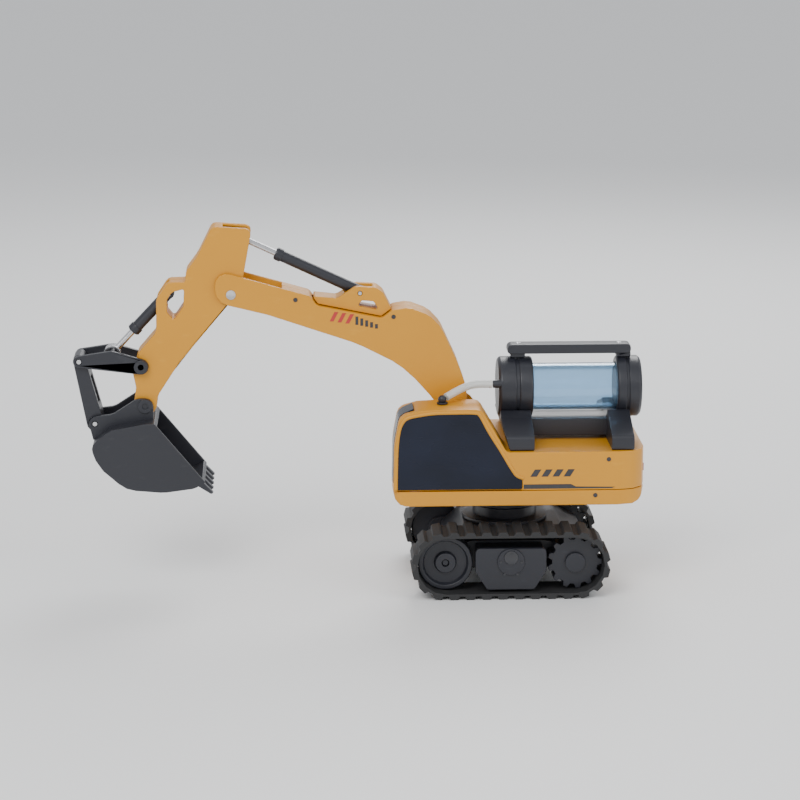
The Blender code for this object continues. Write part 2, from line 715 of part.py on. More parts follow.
def swing_drive():
    """The fixed turntable and its ring gear, and the motor with the pinion that rolls round it."""
    flange_bottom = CHASSIS_TOP + GAP
    seat = BASE_BOTTOM - GAP
    gear_top = GEAR_BOTTOM + SWING_GEAR_WIDTH
    bore_radius = 0.0050
    profile = [
        (bore_radius, gear_top), (SPIGOT_RADIUS, gear_top), (SPIGOT_RADIUS, seat), (NECK_RADIUS, seat),
        (NECK_RADIUS, seat - 0.0080), (NECK_RADIUS - 0.0020, seat - 0.0090),
        (NECK_RADIUS - 0.0020, flange_bottom + 0.0030),
        (0.0265, flange_bottom + 0.0022), (0.0265, flange_bottom), (bore_radius, flange_bottom),
    ]
    part("turntable", turned(profile, (0, 0, 0), ring=True), black)

    ring = gear_outline(SWING_RING_TEETH, SWING_RADIUS + 0.7 * SWING_MODULE, SWING_RADIUS - SWING_MODULE)
    part(
        "swing_gear",
        slab(ring, "XY", GEAR_BOTTOM, gear_top, holes=[circle((0, 0), SPIGOT_RADIUS + GAP, 24)]), white,
    )

    pinion_outline = gear_outline(
        SWING_PINION_TEETH, PINION_RADIUS + 0.7 * SWING_MODULE, PINION_RADIUS - SWING_MODULE,
        (PINION_X, 0.0), start=0.5
    )
    pinion = part(
        "swing_pinion", slab(pinion_outline, "XY", GEAR_BOTTOM, gear_top), white,
        (PINION_X, 0.0, GEAR_BOTTOM),
    )
    shaft_top = gear_top + 0.0060
    join(
        pinion,
        rod_between((PINION_X, 0, gear_top - 0.001), (PINION_X, 0, shaft_top), AXLE_RADIUS, segments=14),
    )

    box_bottom = gear_top + 0.0012
    motor = part(
        "swing_motor",
        block((PINION_X - 0.0080, -0.0080, box_bottom), (PINION_X + 0.0120, 0.0080, box_bottom + 0.0080)),
        white,
    )
    join(
        motor,
        rod_between(
            (PINION_X + 0.002, 0, box_bottom + 0.0070), (PINION_X + 0.002, 0, DECK_Z - 0.0050), 0.0065,
        ),
    )
    cut(
        motor,
        rod_between(
            (PINION_X, 0, box_bottom - 0.001), (PINION_X, 0, shaft_top + 0.0006), AXLE_RADIUS + PIN_GAP,
            segments=14,
        ),
    )


# ---------------------------------------------------------------- upper body
def floor_plan(inset, front=BODY_FRONT, bay_front=BAY_FRONT, deck_front=DECK_FRONT):
    """The outline of the upper body from above: cab side, boom bay, low right-hand side, round rear."""
    side = HALF_BODY - inset
    rear = REAR_RADIUS - inset
    corner = max(0.0060 - inset, 0.001)
    return rounded([
        (front + inset, -side, corner), (BODY_REAR - inset, -side, rear), (BODY_REAR - inset, side, rear),
        (deck_front + inset, side, corner), (deck_front + inset, BAY_Y + inset, 0.001),
        (bay_front + inset, BAY_Y + inset, 0.001), (bay_front + inset, -BAY_Y + inset, 0.001),
        (front + inset, -BAY_Y - inset, corner),
    ])


def band_side(inset, low, high):
    """The lower band seen from the side, with round lower corners at the front and the rear."""
    radius = BAND_RADIUS - inset
    return rounded([
        (BODY_FRONT + inset, low, radius), (BODY_REAR - inset, low, radius),
        (BODY_REAR - inset, high, 0.0), (BODY_FRONT + inset, high, 0.0),
    ])


def upper_base():
    """The orange tray that carries everything above the swing bearing."""
    top = BAND_TOP - GAP
    tray = part("upper_base", slab(floor_plan(0.0), "XY", BAND_BOTTOM, top), orange)
    trim = hold(
        slab(band_side(0.0, BAND_BOTTOM, top + 0.01), "XZ", -BODY_WIDTH, BODY_WIDTH), "band_trim",
        as_cutter=True,
    )
    change(tray, "INTERSECT", [trim])
    room = hold(slab(floor_plan(WALL), "XY", BASE_FLOOR, top + 0.01), "band_room", as_cutter=True)
    room_trim = slab(band_side(WALL, BASE_FLOOR, top + 0.02), "XZ", -BODY_WIDTH, BODY_WIDTH)
    change(room, "INTERSECT", [hold(room_trim, "band_room_trim", as_cutter=True)])
    change(tray, "DIFFERENCE", [room])
    cut(tray, rod_between((0, 0, 0.05), (0, 0, 0.07), SPIGOT_RADIUS + PIN_GAP, segments=24))


def pod_side(inset):
    """The half cab seen from the side; its rear slopes down to the deck."""
    low = BAND_TOP - (0.0 if inset == 0.0 else 0.001)
    slope_in = 1.16 * inset
    return rounded([
        (BODY_FRONT + inset, low, 0.0),
        (BODY_FRONT + 0.0004 + inset, 0.0950, 0.030),
        (BODY_FRONT + 0.0036 + inset, 0.1120 - inset, 0.006),
        (-0.0600, ROOF_Z - 0.0008 - inset, 0.020),
        (-0.0430, ROOF_Z - inset, 0.020),
        (-0.0180 - slope_in, ROOF_Z - inset, 0.0050),
        (-0.0024 - slope_in, DECK_Z - (0.0 if inset == 0.0 else inset), 0.003),
        (0.0160, DECK_Z - inset, 0.0),
        (0.0160, low, 0.0),
    ])


PANEL_DEPTH = 0.0012
PANEL_OUTLINE = [
    (-0.0690, 0.0670, 0.0006), (-0.0687, 0.0900, 0.020), (-0.0671, 0.1045, 0.006), (-0.0640, 0.1105, 0.004),
    (-0.0540, 0.1126, 0.010), (-0.0400, 0.1139, 0.020), (-0.0194, 0.1138, 0.0035), (-0.0070, 0.0910, 0.030),
    (0.0020, 0.0760, 0.005), (0.0070, 0.0722, 0.0010), (0.0070, 0.0670, 0.0006),
]


def body_shell():
    """One moulding: the half cab on the left, the engine deck behind it and the low right-hand side."""
    deck = rounded([
        (0.0120, -HALF_BODY, 0.0), (BODY_REAR, -HALF_BODY, REAR_RADIUS),
        (BODY_REAR, HALF_BODY, REAR_RADIUS),
        (DECK_FRONT, HALF_BODY, 0.006), (DECK_FRONT, BAY_Y, 0.001), (BAY_REAR, BAY_Y, 0.0),
        (BAY_REAR, -BAY_Y, 0.0),
        (0.0120, -BAY_Y, 0.0),
    ])
    deck_room = rounded([
        (0.0100, -HALF_BODY + WALL, 0.0), (BODY_REAR - WALL, -HALF_BODY + WALL, REAR_RADIUS - WALL),
        (BODY_REAR - WALL, HALF_BODY - WALL, REAR_RADIUS - WALL),
        (DECK_FRONT + WALL, HALF_BODY - WALL, 0.004),
        (DECK_FRONT + WALL, BAY_Y + WALL, 0.0), (BAY_REAR + WALL, BAY_Y + WALL, 0.0),
        (BAY_REAR + WALL, -BAY_Y - 0.001, 0.0), (0.0100, -BAY_Y - 0.001, 0.0),
    ])
    shell = part("body_shell", slab(deck, "XY", BAND_TOP, DECK_Z), orange)
    join(shell, slab(pod_side(0.0), "XZ", -HALF_BODY, -BAY_Y))
    cut(shell, slab(deck_room, "XY", BAND_TOP - 0.001, DECK_Z - WALL))
    cut(shell, slab(pod_side(WALL), "XZ", -HALF_BODY + WALL + PANEL_DEPTH, -BAY_Y - WALL))
    panel_room = rounded([(x, z, r) for x, z, r in PANEL_OUTLINE])
    cut(shell, slab(scaled_about(panel_room, GAP), "XZ", -HALF_BODY - 0.001, -HALF_BODY + PANEL_DEPTH))
    panel = slab(rounded(PANEL_OUTLINE), "XZ", -HALF_BODY, -HALF_BODY + PANEL_DEPTH - GAP)
    part("cab_side_window", panel, gloss)
    low_y, high_y = -0.0405, -0.0225
    window_front = BODY_FRONT - 0.0002
    strip = [
        (window_front, 0.0700, 0.0), (window_front + 0.0004, 0.0950, 0.030),
        (window_front + 0.0036, 0.1124, 0.006),
        (-0.0590, ROOF_Z - 0.0004, 0.0), (-0.0590, ROOF_Z - 0.0016, 0.0),
        (window_front + 0.0050, 0.1108, 0.005),
        (window_front + 0.0018, 0.0950, 0.030), (window_front + 0.0014, 0.0700, 0.0),
    ]
    window = rounded(strip)
    cut(shell, slab(scaled_about(window, GAP), "XZ", low_y - GAP, high_y + GAP))
    part("cab_front_window", slab(window, "XZ", low_y, high_y), gloss)


def scaled_about(points, grow):
    """An outline grown outwards by a small clearance."""
    count = len(points)
    area = sum(points[i - 1].x * points[i].y - points[i].x * points[i - 1].y for i in range(count))
    out = []
    for index, here in enumerate(points):
        back = (here - points[index - 1]).normalized()
        ahead = (points[(index + 1) % count] - here).normalized()
        along = (back + ahead).normalized()
        normal = Vector((along.y, -along.x)) * (1 if area > 0 else -1)
        out.append(here + normal * grow / max(0.5, math.cos(back.angle(ahead) / 2)))
    return out


def boom_foot():
    """The two cheeks that hold the boom, standing on the tray, with the shaft and the motor behind."""
    floor = BASE_FLOOR + 2 * GAP
    cheek = rounded([
        (-0.0490, floor, 0.0), (-0.0130, floor, 0.0), (-0.0130, 0.0960, 0.010), (-0.0190, 0.1110, 0.008),
        (FOOT_X + 0.0060, FOOT_Z + 0.0110, 0.006), (FOOT_X - 0.0090, FOOT_Z + 0.0110, 0.008),
        (FOOT_X - 0.0115, FOOT_Z - 0.0100, 0.008), (-0.0490, 0.0720, 0.008),
    ])
    inner = BOOM_Y + SIDE_GAP
    bracket = part("boom_foot_bracket", slab(cheek, "XZ", inner, inner + CHEEK), orange)
    join(bracket, slab(cheek, "XZ", -inner - CHEEK, -inner))
    tie_start = SPIGOT_RADIUS + 0.0030
    join(
        bracket,
        block((-0.0490, -inner - 0.001, floor), (-tie_start - 0.0060, inner + 0.001, floor + 0.0030)),
    )
    cut(bracket, bore(FOOT, FOOT_SHAFT_RADIUS + PIN_GAP))
    cut(
        bracket,
        rod_between(
            (0, 0, floor - 0.01), (0, 0, GEAR_BOTTOM + SWING_GEAR_WIDTH + 0.001), SWING_RADIUS + 0.0022,
            segments=24,
        ),
    )
    pin("boom_foot_shaft", FOOT, inner + CHEEK - GAP, FOOT_SHAFT_RADIUS)


# ---------------------------------------------------------------- boom
NOSE_RADIUS = 0.0098


def boom_outline(inset):
    """The boom seen from the side: round nose, recess for the top bracket, hump, and round foot."""
    foot = 0.0098 - inset
    return rounded([
        (STICK_X - 0.0098 + inset, 0.1978 - inset, NOSE_RADIUS - inset),
        (-0.1214, 0.1814 - inset, 0.003), (-0.1166 + 0.2 * inset, 0.1752 - inset, 0.003),
        (-0.0772, 0.1672 - inset, 0.003), (-0.0705, 0.1722 - inset, 0.004),
        (-0.0605, 0.1738 - inset, 0.008),
        (-0.0480 - 0.4 * inset, 0.1690 - inset, 0.010),
        (-0.0405 - 0.7 * inset, 0.1610 - 0.7 * inset, 0.012),
        (-0.0306 - inset, 0.1394, 0.030), (FOOT_X + 0.0084 - inset, FOOT_Z + 0.0180, 0.020),
        (FOOT_X + 0.0098 - inset, FOOT_Z - 0.0098 + inset, foot),
        (FOOT_X - 0.0098 + inset, FOOT_Z - 0.0098 + inset, foot),
        (FOOT_X - 0.0100 + inset, FOOT_Z + 0.0070, 0.010), (-0.0475 + inset, 0.1185 + 0.3 * inset, 0.010),
        (-0.0568 + 0.7 * inset, 0.1289 + 0.7 * inset, 0.020),
        (-0.0673 + 0.5 * inset, 0.1385 + 0.8 * inset, 0.030),
        (-0.0922, 0.1512 + inset, 0.050), (-0.1304, 0.1640 + inset, 0.050),
        (-0.1474, 0.1698 + inset, 0.030),
        (STICK_X - 0.0098 + inset, 0.1776 + inset, NOSE_RADIUS - inset),
    ])


def boom():
    """Two moulded halves with the stick pin across the nose and the bracket seated on top."""
    fork_x = STICK_X + 0.0310
    for side, word in ((-1, "left"), (1, "right")):
        half = part(
            f"boom_half_{word}", slab(boom_outline(0.0), "XZ", *mirrored((GAP / 2, BOOM_Y), side)), orange,
            at(FOOT),
        )
        room = slab(boom_outline(BOOM_WALL), "XZ", *mirrored((-0.001, BOOM_Y - BOOM_WALL), side))
        fork = block((STICK_X - 0.02, -BOOM_Y + BOOM_WALL, 0.15), (fork_x, BOOM_Y - BOOM_WALL, 0.22))
        post = ((FOOT_X, 0.0, FOOT_Z), (FOOT_X, side * (BOOM_Y - BOOM_WALL / 2), FOOT_Z))
        cut(half, room, fork)
        collar = part_tool(rod_between(*post, FOOT_SHAFT_RADIUS + 0.0020), half.name + "_collar")
        cut(
            collar,
            block((FOOT_X - 0.01, -GAP / 2, FOOT_Z - 0.01), (FOOT_X + 0.01, GAP / 2, FOOT_Z + 0.01)),
        )
        change(half, "UNION", [collar])
        cut(half, bore(FOOT, FOOT_SHAFT_RADIUS + PIN_GAP), bore(STICK, STICK_PIN_RADIUS + PIN_GAP))
    pin("stick_pin", STICK, BOOM_Y - GAP, STICK_PIN_RADIUS)

    top = rounded([
        (-0.1200, 0.1808, 0.001), (-0.1046, 0.1791, 0.003), (-0.0930, 0.1864, 0.0025),
        (-0.0805, 0.1857, 0.0025),
        (-0.0762, 0.1824, 0.0020), (-0.0712, 0.1724, 0.0010), (-0.0774, 0.1672 + 0.0005, 0.0010),
        (-0.1163, 0.1752 + 0.0005, 0.0010),
    ])
    window = rounded([
        (-0.0921, 0.1743, 0.0010), (-0.0892, 0.1776, 0.0012), (-0.0822, 0.1770, 0.0012),
        (-0.0786, 0.1716, 0.0010),
    ])
    half_width = BRACKET_WIDTH / 2
    bracket = part(
        "cylinder_bracket", slab(top, "XZ", -half_width, half_width, holes=[window]), orange, at(FOOT),
    )
    cut(
        bracket, cylinder_slot(BARREL_PIN, STICK_EYE, 0.0048),
        bore(BARREL_PIN, CYLINDER_PIN_RADIUS + PIN_GAP),
    )
    pin("barrel_pin", BARREL_PIN, half_width - GAP, CYLINDER_PIN_RADIUS)

    motor_low, motor_high = -0.1160, -0.0880
    motor = rod_between((motor_low, 0, 0.1678), (motor_high, 0, 0.1602), 0.0042, segments=12)
    made = part("stick_motor", motor, steel, at(FOOT))
    join(
        made,
        rod_between((motor_low - 0.0060, 0, 0.1694), (motor_low + 0.001, 0, 0.1675), 0.0012, segments=8),
    )


def part_tool(mesh, name):
    """A shape kept with the cutters, to be cut itself before it is joined to a piece."""
    return hold(mesh, name, as_cutter=True)


def cylinder_slot(base, end, half_width):
    """The room between bracket cheeks for a barrel that swings a few degrees, open along its length."""
    base = Vector(base)
    along = (Vector(end) - base).normalized()
    normal = Vector((-along.y, along.x))
    if normal.y < 0:
        normal = -normal
    outline = [
        base - along * 0.0055 - normal * 0.0050,
        base + along * 0.0100 - normal * 0.0050,
        base + along * 0.0400 - normal * 0.0090,
        base + along * 0.0400 + normal * 0.0160,
        base - along * 0.0055 + normal * 0.0160,
    ]
    return slab(outline, "XZ", -half_width, half_width)


# ---------------------------------------------------------------- cylinders
def eye_on(made, place, pin_hole):
    """An eye with a bore at an (x, z) place, joined to a barrel or a rod."""
    half = EYE_WIDTH / 2
    radius = max(EYE_RADIUS, pin_hole + EYE_RIM)
    x, z = place
    join(made, rod_between((x, -half, z), (x, half, z), radius, segments=14))
    cut(made, bore(place, pin_hole, segments=14))


def dummy_cylinder(words, base, end, barrel_length, rod_length, end_bore):
    """A barrel on its base pin and the rod that slides in it, out to its own eye."""
    start = Vector(base)
    along = (Vector(end) - start).normalized()
    reach = (Vector(end) - start).length

    def on_axis(distance):
        place = start + along * distance
        return (place.x, 0.0, place.y)

    barrel = part(
        f"{words}_barrel", rod_between(on_axis(0.0015), on_axis(barrel_length), CYLINDER_RADIUS), black,
        at(base)
    )
    join(
        barrel,
        rod_between(
            on_axis(barrel_length - 0.0045), on_axis(barrel_length - 0.0005), CYLINDER_RADIUS + 0.0006,
        ),
    )
    eye_on(barrel, base, CYLINDER_PIN_RADIUS + PIN_GAP)
    cut(
        barrel,
        rod_between(on_axis(0.0052), on_axis(barrel_length + 0.001), ROD_RADIUS + PIN_GAP, segments=12),
    )
    rod = part(
        f"{words}_rod",
        rod_between(on_axis(reach - rod_length), on_axis(reach - 0.001), ROD_RADIUS, segments=12), black,
        at(end),
    )
    eye_on(rod, end, end_bore)


# ---------------------------------------------------------------- stick
STICK_OUTLINE = [
    (-0.1805, 0.2242, 0.0035), (-0.1563, 0.2226, 0.0035), (-0.1632, 0.1850, 0.0050),
    (-0.2020, 0.1392, 0.0120),
    (-0.2150, 0.1192, 0.0060), (-0.2158, 0.1120, 0.0030), (-0.2190, 0.1068, 0.0040),
    (-0.2270, 0.1068, 0.0045),
    (-0.2298, 0.1150, 0.0030), (-0.2283, 0.1245, 0.0040), (-0.2302, 0.1340, 0.0030),
    (-0.2268, 0.1460, 0.0030),
    (-0.2154, 0.1592, 0.0040), (-0.2151, 0.1795, 0.0040), (-0.2080, 0.1900, 0.0040),
    (-0.1972, 0.1902, 0.0012),
    (-0.1966, 0.1966, 0.0030), (-0.1897, 0.2058, 0.0200),
]
STICK_WINDOW = [
    (-0.1980, 0.1856, 0.0010), (-0.2053, 0.1838, 0.0025), (-0.2085, 0.1790, 0.0020),
    (-0.2085, 0.1712, 0.0020),
    (-0.2045, 0.1664, 0.0015), (-0.1985, 0.1752, 0.0015),
]
STICK_ROOM = [
    (-0.1790, 0.2222, 0.0020), (-0.1583, 0.2208, 0.0020), (-0.1648, 0.1858, 0.0040),
    (-0.2036, 0.1398, 0.0100),
    (-0.2152, 0.1232, 0.0040), (-0.2230, 0.1215, 0.0030), (-0.2262, 0.1300, 0.0040),
    (-0.2250, 0.1452, 0.0030),
    (-0.2050, 0.1600, 0.0060), (-0.1957, 0.1756, 0.0040), (-0.1953, 0.1956, 0.0030),
    (-0.1884, 0.2050, 0.0200),
]


def stick():
    """Two moulded halves; the front loop holds the bucket cylinder and the open back takes the rod's eye."""
    eye_x, eye_z = STICK_EYE
    front, back = eye_x - 0.0093, eye_x + 0.0147
    clevis = [
        (front, eye_z + 0.0100), (back, eye_z + 0.0100), (back, eye_z - 0.0157), (front, eye_z - 0.0107),
    ]
    half_slot = EYE_WIDTH / 2 + EYE_SIDE_ROOM
    pocket = slab([Vector(place) for place in clevis], "XZ", -half_slot, half_slot)
    for side, word in ((-1, "left"), (1, "right")):
        shape = slab(
            rounded(STICK_OUTLINE), "XZ", *mirrored((GAP / 2, STICK_Y), side),
            holes=[rounded(STICK_WINDOW)],
        )
        half = part(f"stick_half_{word}", shape, orange, at(STICK))
        room = slab(rounded(STICK_ROOM), "XZ", *mirrored((-0.001, STICK_Y - STICK_WALL), side))
        cut(half, room)
        for place, radius in ((STICK, STICK_PIN_RADIUS), (ROCKER, JOINT_PIN_RADIUS)):
            x, z = place
            boss = part_tool(
                rod_between((x, side * GAP / 2, z), (x, side * (STICK_Y - 0.001), z), radius + 0.0022),
                f"{half.name}_boss"
            )
            change(half, "UNION", [boss])
            cut(half, bore(place, radius + PIN_GAP))
        cut(
            half, bore(BUCKET, JOINT_PIN_RADIUS + PIN_GAP), pocket.copy(),
            cylinder_slot(BUCKET_BASE, LUG, 0.0048),
        )
        cut(half, bore(BUCKET_BASE, CYLINDER_PIN_RADIUS + PIN_GAP, half_width=STICK_Y - STICK_WALL))
    pin("rocker_pin", ROCKER, ARM_Y + ARM_PLATE - GAP, JOINT_PIN_RADIUS)
    pin("bucket_pin", BUCKET, ARM_Y + ARM_PLATE - GAP, JOINT_PIN_RADIUS)
    pin("bucket_cylinder_pin", BUCKET_BASE, STICK_Y - STICK_WALL - GAP, CYLINDER_PIN_RADIUS)


# ---------------------------------------------------------------- bucket linkage
def wrapped(circles, count=14):
    """The outline of a band stretched round (x, z, radius) circles."""
    points = sorted((p.x, p.y) for x, z, radius in circles for p in circle((x, z), radius, count))

    def chain(row):
        kept = []
        for point in row:
            while len(kept) > 1 and (
                Vector(kept[-1]) - Vector(kept[-2])
            ).cross(Vector(point) - Vector(kept[-1])) <= 1e-12:
                kept.pop()
            kept.append(point)
        return kept[:-1]

    return [Vector(point) for point in chain(points) + chain(reversed(points))]


def rocker():
    """Two cheeks on the stick's lower front, tied by the lug's bar and by the link pin."""
    inner, outer = ARM_Y, ARM_Y + ARM_PLATE
    pieces = []
    for side in (-1, 1):
        span = mirrored((inner, outer), side)
        pieces.append(
            slab(wrapped([(*ROCKER, 0.0048), (*LUG, 0.0036), (*ROCKER_END, 0.0036)]), "XZ", *span),
        )
        x, z = ROCKER
        boss_span = (side * (outer - 0.001), side * (outer + 0.0012))
        pieces.append(rod_between((x, boss_span[0], z), (x, boss_span[1], z), 0.0044))
    made = part("bucket_rocker", pieces[0], black, at(ROCKER))
    x, z = LUG
    bar = rod_between((x, -inner - 0.001, z), (x, inner + 0.001, z), JOINT_PIN_RADIUS, segments=16)
    join(made, *pieces[1:], bar)
    cut(made, bore(ROCKER, JOINT_PIN_RADIUS + PIN_GAP), bore(ROCKER_END, JOINT_PIN_RADIUS + PIN_GAP))
    pin("link_pin", ROCKER_END, outer - GAP, JOINT_PIN_RADIUS)


def bucket_link():
    """The wide link from the rocker's end down to the bucket's rear ears."""
    outline = wrapped([(*ROCKER_END, LINK_TOP_RADIUS), (*REAR_EAR, OPEN_BORE + EYE_RIM)])
    made = part("bucket_link", slab(outline, "XZ", -LINK_Y, LINK_Y), black, at(ROCKER_END))
    middle = (Vector(ROCKER_END) + Vector(REAR_EAR)) / 2
    cut(
        made,
        block(
            (middle.x - 0.02, -LINK_Y + 0.0045, middle.y - 0.0085),
            (middle.x + 0.02, LINK_Y - 0.0045, middle.y + 0.0085),
        ),
    )
    cut(made, bore(ROCKER_END, JOINT_PIN_RADIUS + PIN_GAP), bore(REAR_EAR, OPEN_BORE))


def from_bucket(x, z, radius=0.0):
    return (BUCKET_X + x, BUCKET_Z + z, radius)


def bucket():
    """A shell with side plates and ears, open towards the machine, with teeth along its lip."""
    wall = BUCKET_WALL
    body = rounded([
        from_bucket(0.0060, -0.0085), from_bucket(0.0365, -0.0455), from_bucket(0.0300, -0.0495, 0.006),
        from_bucket(0.0110, -0.0520, 0.018), from_bucket(-0.0120, -0.0500, 0.018),
        from_bucket(-0.0290, -0.0350, 0.016),
        from_bucket(-0.0335, -0.0220, 0.006), from_bucket(-0.0215, -0.0125, 0.006),
        from_bucket(0.0000, -0.0085, 0.002),
    ], steps=4)
    room = rounded([
        from_bucket(0.0300, -0.0085 - wall), from_bucket(0.0460, -0.0370),
        from_bucket(0.0290, -0.0470, 0.006),
        from_bucket(0.0110, -0.0520 + wall, 0.016), from_bucket(-0.0110, -0.0500 + wall, 0.016),
        from_bucket(-0.0290 + wall, -0.0342, 0.014), from_bucket(-0.0335 + wall, -0.0230, 0.005),
        from_bucket(-0.0205, -0.0125 - wall, 0.005), from_bucket(0.0020, -0.0085 - wall, 0.002),
    ], steps=4)
    half = BUCKET_WIDTH / 2
    made = part("bucket", slab(body, "XZ", -half, half), black, at(BUCKET))
    cut(made, slab(room, "XZ", -half + wall, half - wall))
    inner, outer = ARM_Y, ARM_Y + ARM_PLATE
    ear = rounded([
        from_bucket(0.0050, 0.0046, 0.0048), from_bucket(-0.0050, 0.0046, 0.004),
        from_bucket(-0.0200, -0.0050, 0.006),
        from_bucket(-0.0310, -0.0062, 0.004), from_bucket(-0.0352, -0.0090, 0.004),
        from_bucket(-0.0322, -0.0212),
        from_bucket(-0.0205, -0.0138), from_bucket(0.0050, -0.0098),
    ])
    x, z = BUCKET
    for side in (-1, 1):
        boss = rod_between((x, side * (outer - 0.001), z), (x, side * (outer + 0.0012), z), 0.0046)
        join(made, slab(ear, "XZ", *mirrored((inner, outer), side)), boss)
    tooth = [
        from_bucket(0.0338, -0.0441), from_bucket(0.0315, -0.0476), from_bucket(0.0400, -0.0530),
        from_bucket(0.0415, -0.0522),
    ]
    spacing = (BUCKET_WIDTH - TOOTH_WIDTH) / (TOOTH_COUNT - 1)
    for index in range(TOOTH_COUNT):
        middle = (index - (TOOTH_COUNT - 1) / 2) * spacing
        join(
            made,
            slab(
                [Vector(point[:2]) for point in tooth], "XZ", middle - TOOTH_WIDTH / 2,
                middle + TOOTH_WIDTH / 2
            )
        )
    cut(
        made, bore(BUCKET, JOINT_PIN_RADIUS + PIN_GAP),
        bore(REAR_EAR, JOINT_PIN_RADIUS + PIN_GAP, half_width=outer + 0.001),
    )
    pin("rear_ear_pin", REAR_EAR, outer - GAP, JOINT_PIN_RADIUS)


# ---------------------------------------------------------------- tank on the rear deck
def tank_cap(name, x, length, inward, material):
    """A stepped cap with a ring groove that the tube's end sits in."""
    seat = TUBE_SEAT
    profile = [
        (0.0, length), (TUBE_RADIUS - TUBE_WALL - GAP, length),
        (TUBE_RADIUS - TUBE_WALL - GAP, length - seat),
        (TUBE_RADIUS + GAP, length - seat), (TUBE_RADIUS + GAP, length), (TANK_CAP_RADIUS - 0.0010, length),
        (TANK_CAP_RADIUS, length - 0.0010), (TANK_CAP_RADIUS, length * 0.62),
        (TANK_CAP_RADIUS - 0.0008, length * 0.60),
        (TANK_CAP_RADIUS - 0.0008, length * 0.52), (TANK_CAP_RADIUS, length * 0.50),
        (TANK_CAP_RADIUS, 0.0016),
        (TANK_CAP_RADIUS - 0.0016, 0.0), (0.0, 0.0),
    ]
    mesh = turned(profile, (0, 0, 0), "X", steps=24)
    if inward < 0:
        mesh.transform(Matrix.Rotation(math.pi, 4, "Z"))
    mesh.transform(Matrix.Translation((x, 0, TANK_Z)))
    return part(name, mesh, material)


def tank():
    """A clear tube between two caps, cradled on two feet, with a carrying handle and the hose."""
    front_cap = tank_cap("tank_front_cap", TANK_FRONT, TANK_CAP_LENGTH, 1, black)
    tank_cap("tank_rear_cap", TANK_REAR, TANK_REAR_CAP_LENGTH, -1, black)
    nipple_end = TANK_FRONT - NIPPLE_LENGTH
    join(
        front_cap,
        rod_between(
            (TANK_FRONT + 0.003, NIPPLE_Y, NIPPLE_Z), (nipple_end, NIPPLE_Y, NIPPLE_Z), HOSE_RADIUS,
            segments=14,
        ),
    )

    tube_front = TANK_FRONT + TANK_CAP_LENGTH - TUBE_SEAT + GAP
    tube_rear = TANK_REAR - TANK_REAR_CAP_LENGTH + TUBE_SEAT - GAP
    profile = [
        (TUBE_RADIUS - TUBE_WALL, tube_rear), (TUBE_RADIUS, tube_rear),
        (TUBE_RADIUS, tube_front), (TUBE_RADIUS - TUBE_WALL, tube_front),
    ]
    part("tank_tube", turned(profile, (0, 0, TANK_Z), "X", steps=24, ring=True), clear)

    floor = DECK_Z + GAP
    shoulder = floor + 0.0159
    across = rounded([
        (-FOOT_WIDTH / 2, floor, 0.001), (FOOT_WIDTH / 2, floor, 0.001),
        (FOOT_WIDTH / 2, floor + 0.0085, 0.003),
        (0.0225, shoulder, 0.006), (0.0150, shoulder + 0.0035, 0.003), (-0.0150, shoulder + 0.0035, 0.003),
        (-0.0225, shoulder, 0.006), (-FOOT_WIDTH / 2, floor + 0.0085, 0.003),
    ])
    cradle = part("tank_cradle", slab(across, "YZ", TANK_FRONT + 0.0010, TANK_FRONT + 0.0200), black)
    rear_foot = slab(across, "YZ", TANK_REAR - 0.0215, TANK_REAR - 0.0075)
    beam = block(
        (TANK_FRONT + 0.0150, -0.0130, floor + 0.0024), (TANK_REAR - 0.0150, 0.0130, floor + 0.0129),
    )
    join(cradle, rear_foot, beam)
    slant = [
        Vector((TANK_FRONT - 0.001, floor - 0.001)), Vector((TANK_FRONT + 0.0052, floor - 0.001)),
        Vector((TANK_FRONT + 0.0008, floor + 0.0139)), Vector((TANK_FRONT - 0.001, floor + 0.0179)),
    ]
    cut(cradle, slab(slant, "XZ", -HALF_BODY, HALF_BODY))
    cap_room = rod_between(
        (TANK_FRONT - 0.01, 0, TANK_Z), (TANK_REAR + 0.01, 0, TANK_Z), TANK_CAP_RADIUS + GAP, segments=24,
    )
    cut(cradle, cap_room)

    bar = rounded([
        (TANK_FRONT + 0.0060, HANDLE_Z, 0.002), (TANK_REAR - 0.0060, HANDLE_Z, 0.002),
        (TANK_REAR - 0.0060, HANDLE_Z + HANDLE_HEIGHT, 0.0025),
        (TANK_FRONT + 0.0060, HANDLE_Z + HANDLE_HEIGHT, 0.0028),
    ])
    handle = part("tank_handle", slab(bar, "XZ", -HANDLE_WIDTH / 2, HANDLE_WIDTH / 2), black)
    for middle in (TANK_FRONT + 0.0125, TANK_REAR - 0.0105):
        leg = block(
            (middle - 0.0045, -0.0040, TANK_Z + TANK_CAP_RADIUS - 0.0030),
            (middle + 0.0045, 0.0040, HANDLE_Z + 0.001),
        )
        join(handle, leg)
    cut(
        handle,
        rod_between(
            (TANK_FRONT - 0.01, 0, TANK_Z), (TANK_REAR + 0.01, 0, TANK_Z), TANK_CAP_RADIUS + GAP,
            segments=24,
        ),
    )

    fitting = (-0.0410, -0.0304, ROOF_Z + GAP + 0.0028)
    made = part("hose_fitting", ball(fitting, 0.0027), black)
    base_low = (fitting[0], fitting[1], ROOF_Z + GAP)
    join(made, rod_between(base_low, (fitting[0], fitting[1], ROOF_Z + GAP + 0.0012), 0.0034))

    route = [
        (nipple_end - GAP, NIPPLE_Y, NIPPLE_Z), (-0.0130, -0.0159, 0.1261), (-0.0185, -0.0168, 0.1262),
        (-0.0240, -0.0190, 0.1257), (-0.0290, -0.0222, 0.1245), (-0.0335, -0.0254, 0.1229),
        (-0.0385, -0.0288, 0.1209),
    ]
    hose(route)


